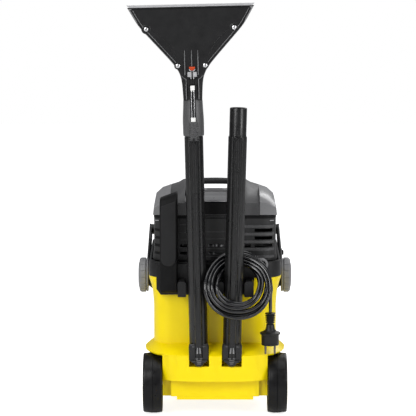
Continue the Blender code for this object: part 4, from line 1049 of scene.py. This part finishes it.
def make_spray_parts():
    """Spray line with its two cubes, the orange jet, and the clips that hold it."""
    line = blocks(
        ((-4.6, -26.2, 502.8), (4.6, -20.4, 511.2), 0.9),
        ((-4.4, -26.0, 566.2), (4.4, -21.0, 575.6), 0.9),
        ((-2.9, -25.6, 562.6), (-1.2, -22.0, 566.4), 0.5),
        ((1.2, -25.6, 562.6), (2.9, -22.0, 566.4), 0.5),
    )
    nozzle_piece("spray_fittings", line, "white", replaces=("spray_line",))
    rods = []
    w = np.linspace(510.0, 567.0, 20)
    for x in (-2.5, 2.5):
        bowed = x + 0.35 * np.sign(x) * np.sin((w - 510.0) / 57.0 * math.pi)
        rods.append(sweep(np.column_stack([bowed, np.full_like(w, -23.2), w]), circle(0.85, 12)))
    nozzle_piece("spray_rods", rods, "steel", sharp=50.0)
    jet = blocks(((-6.0, -25.0, 609.4), (6.0, -20.6, 613.4), 1.0),
                 ((-4.0, -23.0, 606.0), (4.0, -20.6, 609.6), 0.7))
    nozzle_piece("jet_tip", jet, "orange", replaces=("spray_jet",))
    clips = []
    for sign in (-1.0, 1.0):
        near, far = sorted((sign * 1.3, sign * 9.4))
        clips += blocks(((near, -25.2, 593.0), (far, -20.6, 603.0), 1.2))
        near, far = sorted((sign * 1.6, sign * 3.6))
        clips += blocks(((near, -24.6, 588.8), (far, -21.0, 593.6), 0.7))
        bend = ((6.0, -23.4, 608.4), (4.0, -23.6, 605.8), (1.0, -23.6, 604.4))
        arm = curve_through([(sign * x, y, w) for x, y, w in bend], 8)
        clips.append(sweep(arm, circle(0.9, 10)))
    nozzle_piece("jet_clips", clips, "lip")


# ---------------------------------------------------------------- carrying bow

BOW_LEAN = math.radians(74.7)
BOW_REACH = 240.0


def bow_point(reach, off=0.0):
    """A place on the bow's arms as (y, z): along the arm, and off it square to the arm."""
    return (
        reach * math.sin(BOW_LEAN) - off * math.cos(BOW_LEAN),
        PIVOT_Z + reach * math.cos(BOW_LEAN) + off * math.sin(BOW_LEAN),
    )


def make_knob(side, sign):
    """A knob: inner flange, neck, then a wide rim with pressed finger notches and a stepped, domed face."""
    profile = [(0.0, 141.4), (34.6, 141.4), (35.6, 142.0), (35.8, 144.6), (35.0, 145.4), (32.8, 145.6),
               (32.8, 146.4), (36.2, 146.6), (37.0, 147.4), (37.0, 156.0), (36.6, 157.2), (33.8, 160.2),
               (32.6, 160.6), (31.6, 160.2), (30.6, 159.6), (28.6, 160.4), (26.0, 161.8), (22.0, 162.6),
               (10.0, 163.0), (0.0, 163.0)]

    def notches(angle, radius, run):
        """Narrow grooves, sixteen round the rim."""
        groove = np.exp(-((np.abs(np.sin(angle * 8.0)) / 0.13) ** 2))
        return 1.3 * groove * ((radius > 33.0) & (np.abs(run) > 146.5))

    outline = [(radius, sign * x) for radius, x in profile]
    knob = revolve(outline, "X", (0.0, 0.0, PIVOT_Z), 192, notch=notches)
    make_piece("knob_" + side, [knob], "knob", "bow", replaces=("bow_hub_" + side,), sharp=30.0)


ARM_FOOT_RADIUS, ARM_TIP_RADIUS = 24.0, 12.4
STUD_REACH = 114.0
BAR_HALF, BAR_STEPS = 142.4, 40


def arm_outline():
    """The side view of an arm: a wide round foot at the pivot that narrows to the front bar."""
    foot, tip = np.array([0.0, PIVOT_Z]), np.array(bow_point(BOW_REACH))
    heading = math.atan2(tip[1] - foot[1], tip[0] - foot[0])
    flank = math.acos((ARM_FOOT_RADIUS - ARM_TIP_RADIUS) / float(np.hypot(*(tip - foot))))
    arcs = ((foot, ARM_FOOT_RADIUS, np.linspace(heading + flank, heading + TAU - flank, 30)),
            (tip, ARM_TIP_RADIUS, np.linspace(heading - flank, heading + flank, 18)))
    return np.vstack([
        np.column_stack([middle[0] + radius * np.cos(a), middle[1] + radius * np.sin(a)])
        for middle, radius, a in arcs
    ])


def make_bow():
    """The bow: two flat arms with ribs across their inner side, a round front bar, and the release button."""
    parts = []
    rib = [(-0.7, -1.1), (0.7, -1.1), (0.7, 1.1), (-0.7, 1.1)]
    for sign in (-1.0, 1.0):
        near, far = sorted((sign * 141.2, sign * 145.4))
        parts.append(extrude(arm_outline(), "X", near, far, 0.6))
        for reach in np.arange(40.0, 222.0, 9.0):
            half = 21.0 - 10.0 * reach / BOW_REACH
            path = np.array([(sign * 140.3, *bow_point(reach, off)) for off in (-half, 0.0, half)])
            parts.append(sweep(path, rib, up=(1.0, 0.0, 0.0)))
    y, z = bow_point(BOW_REACH)
    x = np.linspace(-BAR_HALF, BAR_HALF, 96)
    swell = 11.4 + 0.6 * smooth_step((104.0 - np.abs(x)) / 12.0)
    swell -= 0.5 * np.exp(-(((np.abs(x) - 110.0) / 1.4) ** 2))
    turn = np.linspace(0.0, TAU, BAR_STEPS, endpoint=False)
    bar = np.stack([
        np.repeat(x[:, None], BAR_STEPS, axis=1),
        y + swell[:, None] * np.cos(turn),
        z + swell[:, None] * np.sin(turn),
    ], axis=-1)
    parts.append(skin(bar))
    make_piece("carrying_bow", parts, "black", "bow", replaces=("bow_handle",), sharp=34.0)
    y, z = bow_point(STUD_REACH)
    path = np.array([(146.6, y + across, z + up)
                     for across, up in ((-8.6, -6.6), (8.6, -6.6), (8.6, 6.6), (-8.6, 6.6))])
    section = [(-1.0, -1.2), (1.0, -1.2), (1.0, 1.2), (-1.0, 1.2)]
    rim = sweep(path, section, up=(1.0, 0.0, 0.0), closed=True)
    make_piece("stud_collar", [rim], "black", "bow", sharp=34.0)
    stud = blocks(((148.1, y - 6.6, z - 4.6), (150.9, y + 6.6, z + 4.6), 0.9))
    make_piece("bow_stud", stud, "deep", "bow_button", replaces=("bow_release_button",),
               sharp=40.0)


# ---------------------------------------------------------------- wheels

WHEEL_MIDDLE = (0.0, AXLE_Y, WHEEL_RADIUS)
WALL_RIBS = 8


def make_rear_wheel(side, sign):
    """A solid tyre with a crowned tread and a fine centre line, a stepped wall with ribs, and a domed cap."""
    crown = np.linspace(0.0, math.pi / 2.0, 7)
    inner = [(61.0 + 2.0 * math.sin(a) - 1.2, 109.2 + 5.0 * (1.0 - math.cos(a))) for a in crown]
    outer = [(61.0 + 2.0 * math.cos(a) - 1.2, 139.6 + 9.0 * math.sin(a)) for a in crown]
    tread = [(62.2, 116.0), (62.9, 122.0), (62.9, 127.6), (62.3, 128.1), (62.9, 128.6), (62.7, 134.0)]
    wall = [(55.0, 149.0), (53.6, 148.6), (52.8, 147.6), (51.6, 147.2), (38.0, 145.0), (36.6, 145.2),
            (35.8, 147.6), (31.0, 148.2), (29.4, 147.6), (29.0, 144.6), (5.8, 144.6), (5.8, 111.4),
            (30.0, 111.4), (34.0, 109.4), (56.0, 109.2)]
    profile = [(radius, sign * x) for radius, x in inner + tread + outer + wall]
    points, faces = revolve(profile, "X", WHEEL_MIDDLE, 144, closed=True)
    radius = np.hypot(points[:, 1] - AXLE_Y, points[:, 2] - WHEEL_RADIUS)
    angle = np.arctan2(points[:, 2] - WHEEL_RADIUS, points[:, 1] - AXLE_Y)
    rib = np.exp(-((np.abs(np.sin(angle * WALL_RIBS / 2.0)) / 0.16) ** 2))
    disc = (radius > 37.0) & (radius < 52.5) & (np.abs(points[:, 0]) > 143.0)
    points[:, 0] += sign * np.where(disc, 2.2 * rib, 0.0)
    make_piece("rear_wheel_skin_" + side, [(points, faces)], "tyre", "wheel_" + side,
               replaces=("rear_wheel_" + side,), sharp=30.0)
    cap = [(0.0, 144.9), (28.4, 144.9), (28.4, 146.2), (27.4, 147.2), (25.6, 147.4), (24.6, 146.8),
           (22.6, 147.6), (18.0, 149.0), (8.0, 150.2), (0.0, 150.4)]
    cap = [(radius, sign * x) for radius, x in cap]
    make_piece("wheel_disc_" + side, [revolve(cap, "X", WHEEL_MIDDLE, 72)], "knob", "wheel_" + side,
               replaces=("wheel_cap_" + side,), sharp=32.0)


# ---------------------------------------------------------------- head trim

HOUSING_REAR = -122.0
HOUSING_Z = (317.3, 340.0, 385.0, 411.7)
HOUSING_HALF = (130.0, 127.0, 126.5, 127.0)
HOUSING_FRONT = (183.0, 182.0, 173.0, 151.0)
HOUSING_CORNER = (30.0, 28.0, 27.0, 26.0)
SLOT_Z = (380.0, 364.0, 348.0, 332.0)
WAIST_Z, SEAL_FRONT = 408.0, 146.2
# Rows of pale blocks behind the slots, painted light that stands for light seen through them: low, high, and
# each block's ends across.
LIGHT_THROUGH_SLOT_ROWS = (
    (345.2, 350.8, ((-19.5, -12.5), (-5.0, -3.0), (1.0, 5.0), (11.0, 20.0), (58.0, 61.0))),
    (329.4, 334.4, ((-18.0, -11.0), (-4.0, -1.0))),
)


def housing_line(start, end, z, count=30):
    """A level line on the housing's rear: flat in the middle, then round each corner as a quarter circle."""
    x = np.linspace(start, end, count)
    corner = np.interp(z, HOUSING_Z, HOUSING_CORNER)
    over = np.clip(np.abs(x) - np.interp(z, HOUSING_Z, HOUSING_HALF) + corner, 0.0, corner)
    y = HOUSING_REAR + corner - np.sqrt(corner ** 2 - over ** 2)
    return np.column_stack([x, y, np.full_like(x, z)])


UPWARDS = (0.0, 0.0, 1.0)


def level_ring(outline, z):
    """A plan outline laid level at a height."""
    return np.column_stack([outline, np.full(len(outline), z)])


def band(inner, outer, half):
    """The section of an upright band: from inner to outer, and half its height up and down."""
    return [(inner, -half), (outer, -half), (outer, half), (inner, half)]


def make_head_trim():
    """The head's moulded lines and painted light: louvre blades, panel lines, a dark ring painted as the
    waist groove's shadow with dark strips painted as shadow in the corner slots, the seal, pale blocks
    painted as light seen through the slots, and light grey strips painted as highlights on edges.
    """
    blades = []
    blade = [(-2.9, -0.5), (-2.9, 0.7), (-2.3, 1.3), (2.3, 1.3), (2.9, 0.7), (2.9, -0.5)]
    line = bead(1.3, 0.9)
    for z in (388.0, 372.0, 356.0, 340.0, 324.5):
        blades.append(sweep(housing_line(60.0, 121.5, z), blade))
        blades.append(sweep(housing_line(-74.0, -58.0, z + 3.7), line))
    for z in (408.2, 377.0, 362.0, 341.5, 325.0):
        blades.append(sweep(housing_line(-52.0, 54.0, z), line))
    make_piece("louvre_blades", blades, "grained", "head", sharp=40.0)

    slot = [(-2.6, -0.4), (-2.6, 0.3), (2.6, 0.3), (2.6, -0.4)]
    shadows = [sweep(housing_line(-125.0, -114.5, z), slot) for z in SLOT_Z]
    half, front, corner = [np.interp(WAIST_Z, HOUSING_Z, row)
                           for row in (HOUSING_HALF, HOUSING_FRONT, HOUSING_CORNER)]
    ring = level_ring(plan(half - 0.4, HOUSING_REAR + 0.4, front - 0.4, corner, 8), WAIST_Z)
    shadows.append(sweep(ring, band(0.0, 0.7, 3.3), up=UPWARDS, closed=True))
    make_piece("waist_shadow", shadows, "deep", "head", sharp=40.0)

    ring = level_ring(plan(half - 5.6, HOUSING_REAR + 5.4, SEAL_FRONT, 20.0, 8), WAIST_Z + 1.0)
    seal = sweep(ring, band(0.0, 0.6, 6.0), up=UPWARDS, closed=True)
    make_piece("cover_seal", [seal], "deep", "head", sharp=40.0)

    centre = blocks(((-56.0, HOUSING_REAR - 0.6, 413.2), (56.0, HOUSING_REAR + 0.8, 438.6), 0.5))
    make_piece("centre_panel", centre, "deep", "head", sharp=40.0)

    # Pale blocks behind the slots as painted light seen through them.
    pale = []
    for low, high, spans in LIGHT_THROUGH_SLOT_ROWS:
        pale += blocks(*[((x0, -118.4, low), (x1, -116.0, high), 0.6) for x0, x1 in spans])
    make_piece("slot_light_patches", pale, "lip", "head", sharp=40.0)

    # Thin light grey strips painted as highlights along the bottom edge of the top recess and of the side
    # bands.
    edges = blocks(((-61.8, HOUSING_REAR - 1.6, 440.4), (61.8, HOUSING_REAR - 0.6, 442.2), 0.4),
                   ((98.0, HOUSING_REAR + 4.0, 399.4), (122.0, HOUSING_REAR + 12.0, 401.2), 0.5),
                   ((-124.0, HOUSING_REAR + 4.0, 399.4), (-116.0, HOUSING_REAR + 12.0, 401.2), 0.5))
    make_piece("painted_highlight_edges", edges, "lip", "head", sharp=40.0)


def make_duct_face():
    """The smooth raised face on the duct cover: straight sides, a half round foot and a slanted top."""
    left, right, low = -111.2, -80.0, 312.0
    radius = (right - left) / 2.0
    turn = np.linspace(math.pi, TAU, 25)
    x = (left + right) / 2.0 + radius * np.cos(turn)
    foot = np.column_stack([x, low + radius + radius * np.sin(turn)])
    outline = np.vstack([foot, [(right, 447.6), (left, 436.0)]])
    face = extrude(outline, "Y", -168.4, -166.6, 0.9)
    make_piece("duct_face", [face], "black", "head", sharp=40.0)


def make_switch_caps():
    """The two push switches on the front of the cover: low round caps with a dished top."""
    profile = [(0.0, 429.2), (10.6, 429.2), (10.6, 438.0), (9.8, 438.9), (7.5, 438.5), (0.0, 438.2)]
    for name, x in (("suction", -26.0), ("spray", 26.0)):
        cap = revolve(profile, "Z", (x, 96.0, 0.0), 48)
        make_piece(name + "_switch_cap", [cap], "knob", name + "_button",
                   replaces=(name + "_switch",), sharp=32.0)


# ---------------------------------------------------------------- finishes of the frame's own nodes

NODE_FINISH = {
    "tank_shell": "yellow",
    "dirty_water_tank": "lip",
    "head_base": "black",
    "motor_housing": "housing",
    "top_cover": "grained",
    "recess_panel": "flank",
    "carry_handle": "black",
    "flank_left": "flank",
    "flank_right": "flank",
    "duct_cover": "deep",
    "tube_holder": "black",
    "cable_gland": "knob",
    "cable_hook": "black",
    "inlet_socket": "black",
    "spray_coupling": "knob",
    "turbine_casing": "knob",
    "turbine_fan": "lip",
    "suction_motor": "motor",
    "spray_pump": "black",
    "water_suction_pipe": "black",
    "float_cage": "white",
    "float_ball": "orange",
    "pivot_bracket_left": "black",
    "pivot_bracket_right": "black",
    "caster_fork_left": "black",
    "caster_fork_right": "black",
    "caster_wheel_left": "tyre",
    "caster_wheel_right": "tyre",
    "rear_axle": "steel",
}
ROUNDED_NODES = ("top_cover", "flank_left", "flank_right", "duct_cover", "tube_holder", "carry_handle",
                 "cable_hook", "head_base", "recess_panel", "cable_gland", "inlet_socket", "spray_coupling")
SMOOTH_ANGLE = 33.0


def smoothing_group():
    """Geometry nodes that weld loose triangles, drop stored normals and smooth all but sharp edges."""
    group = bpy.data.node_groups.new("smooth moulding", "GeometryNodeTree")
    group.interface.new_socket("Geometry", in_out="INPUT", socket_type="NodeSocketGeometry")
    group.interface.new_socket("Geometry", in_out="OUTPUT", socket_type="NodeSocketGeometry")
    nodes, links = group.nodes, group.links
    source, result = nodes.new("NodeGroupInput"), nodes.new("NodeGroupOutput")
    weld = nodes.new("GeometryNodeMergeByDistance")
    weld.inputs["Distance"].default_value = 1e-5
    forget = nodes.new("GeometryNodeRemoveAttribute")
    forget.inputs["Name"].default_value = "custom_normal"
    smooth = nodes.new("GeometryNodeSetShadeSmooth")
    edges = nodes.new("GeometryNodeSetShadeSmooth")
    edges.domain = "EDGE"
    angle = nodes.new("GeometryNodeInputMeshEdgeAngle")
    sharp = nodes.new("FunctionNodeCompare")
    sharp.operation = "GREATER_THAN"
    sharp.inputs[1].default_value = math.radians(SMOOTH_ANGLE)
    links.new(source.outputs[0], weld.inputs["Geometry"])
    links.new(weld.outputs[0], forget.inputs["Geometry"])
    links.new(forget.outputs[0], smooth.inputs["Geometry"])
    links.new(smooth.outputs[0], edges.inputs["Geometry"])
    links.new(angle.outputs["Unsigned Angle"], sharp.inputs[0])
    links.new(sharp.outputs[0], edges.inputs["Selection"])
    edges.inputs["Shade Smooth"].default_value = False
    links.new(edges.outputs[0], result.inputs[0])
    return group


def dress_frame():
    """Give each of the frame's own nodes its finish, and smooth its moulded surfaces."""
    group = smoothing_group()
    for name, finish in NODE_FINISH.items():
        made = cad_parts[name]
        made.data.materials.clear()
        made.data.materials.append(FINISH[finish])
        step = made.modifiers.new("smooth moulding", "NODES")
        step.node_group = group
        if name in ROUNDED_NODES:
            round_edges(made)


# ---------------------------------------------------------------- settings

def colour_setting(name, description, default):
    """A colour setting."""
    return FloatVectorProperty(name=name, description=description, subtype="COLOR", default=default)


class CleanerColours(bpy.types.PropertyGroup):
    """The finishes' colours."""
    black: colour_setting("Black", "Satin black plastic", (0.009, 0.009, 0.0095))
    grained: colour_setting("Grained", "Grained dark grey cover", (0.075, 0.075, 0.077))
    flank: colour_setting("Flank", "Smooth grey side panels", (0.19, 0.19, 0.195))
    knob: colour_setting("Knob", "Mid grey knobs and sleeve", (0.21, 0.21, 0.215))
    lip: colour_setting("Lip", "Light grey nozzle lip", (0.36, 0.36, 0.37))


class CleanerCord(bpy.types.PropertyGroup):
    """The mains cord."""
    length: FloatProperty(name="Length", description="Stated length of the cord", default=2.8, unit="LENGTH")
    turns: IntProperty(name="Turns", description="Turns in the coil", default=8, min=1, max=8)


class CleanerStage(bpy.types.PropertyGroup):
    """Camera and light: lengths in metres, targets in millimetres, angles in degrees."""
    elevation: FloatProperty(name="Elevation", description="Camera height above the horizon", default=8.0)
    distance: FloatProperty(name="Distance", description="Camera to machine", default=4.0, unit="LENGTH")
    lens: FloatProperty(name="Lens", description="Focal length in millimetres", default=170.5)
    target_x: FloatProperty(name="Target across", description="Where the camera looks", default=-14.5)
    target_z: FloatProperty(name="Target height", description="Where the camera looks", default=436.4)
    surround: FloatProperty(name="Surround", description="Brightness of the surround", default=0.24)
    key: FloatProperty(name="Key light", description="Power of the main light in watts", default=52.0)


class CLEANER_OT_stage(bpy.types.Operator):
    """Make the camera, the lights and the floor"""
    bl_idname = "cleaner.stage"
    bl_label = "Stage"

    def execute(self, context):
        make_stage(context.scene.cleaner_stage)
        return {"FINISHED"}


class CLEANER_OT_finishes(bpy.types.Operator):
    """Make every finish"""
    bl_idname = "cleaner.finishes"
    bl_label = "Finishes"

    def execute(self, context):
        FINISH.update(make_finishes(context.scene.cleaner_colours))
        return {"FINISHED"}


class CLEANER_OT_cord(bpy.types.Operator):
    """Lay the coiled cord and its plug"""
    bl_idname = "cleaner.cord"
    bl_label = "Cord and plug"

    def execute(self, context):
        make_cord(context.scene.cleaner_cord)
        return {"FINISHED"}


class CLEANER_OT_tubes(bpy.types.Operator):
    """Make the two suction tubes and their latches"""
    bl_idname = "cleaner.tubes"
    bl_label = "Suction tubes"

    def execute(self, context):
        for side in TUBES:
            make_tube(side)
        return {"FINISHED"}


class CLEANER_OT_nozzle(bpy.types.Operator):
    """Make the floor nozzle"""
    bl_idname = "cleaner.nozzle"
    bl_label = "Floor nozzle"

    def execute(self, context):
        make_nozzle_shell()
        make_nozzle_edges()
        make_nozzle_cover()
        make_nozzle_screws()
        make_nozzle_lip()
        make_nozzle_sleeve()
        make_spray_parts()
        return {"FINISHED"}


class CLEANER_OT_bow(bpy.types.Operator):
    """Make the carrying bow and its knobs"""
    bl_idname = "cleaner.bow"
    bl_label = "Carrying bow"

    def execute(self, context):
        make_bow()
        for side, sign in SIDES:
            make_knob(side, sign)
        return {"FINISHED"}


class CLEANER_OT_wheels(bpy.types.Operator):
    """Make the rear wheels"""
    bl_idname = "cleaner.wheels"
    bl_label = "Rear wheels"

    def execute(self, context):
        for side, sign in SIDES:
            make_rear_wheel(side, sign)
        return {"FINISHED"}


class CLEANER_OT_head(bpy.types.Operator):
    """Add the head's moulded trim"""
    bl_idname = "cleaner.head"
    bl_label = "Head trim"

    def execute(self, context):
        make_head_trim()
        make_duct_face()
        make_switch_caps()
        return {"FINISHED"}


class CLEANER_OT_frame(bpy.types.Operator):
    """Finish the frame's own nodes"""
    bl_idname = "cleaner.frame"
    bl_label = "Frame finishes"

    def execute(self, context):
        dress_frame()
        return {"FINISHED"}


OPERATORS = (CLEANER_OT_stage, CLEANER_OT_finishes, CLEANER_OT_cord, CLEANER_OT_tubes, CLEANER_OT_nozzle,
             CLEANER_OT_bow, CLEANER_OT_wheels, CLEANER_OT_head, CLEANER_OT_frame)


class CLEANER_PT_panel(bpy.types.Panel):
    """The machine's settings and the steps that build it"""
    bl_idname = "CLEANER_PT_panel"
    bl_label = "Carpet Cleaner"
    bl_space_type = "VIEW_3D"
    bl_region_type = "UI"
    bl_category = "Cleaner"

    def draw(self, context):
        for group in (context.scene.cleaner_colours, context.scene.cleaner_cord, context.scene.cleaner_stage):
            for key in group.__annotations__:
                self.layout.prop(group, key)
        for operator in OPERATORS:
            self.layout.operator(operator.bl_idname)


CLASSES = (CleanerColours, CleanerCord, CleanerStage, *OPERATORS, CLEANER_PT_panel)


def register():
    for made in CLASSES:
        bpy.utils.register_class(made)
    bpy.types.Scene.cleaner_colours = PointerProperty(type=CleanerColours)
    bpy.types.Scene.cleaner_cord = PointerProperty(type=CleanerCord)
    bpy.types.Scene.cleaner_stage = PointerProperty(type=CleanerStage)


def unregister():
    del bpy.types.Scene.cleaner_stage
    del bpy.types.Scene.cleaner_cord
    del bpy.types.Scene.cleaner_colours
    for made in reversed(CLASSES):
        bpy.utils.unregister_class(made)


def main():
    register()
    for operator in OPERATORS:
        group, name = operator.bl_idname.split(".")
        getattr(getattr(bpy.ops, group), name)()


if __name__ == "__main__":
    main()
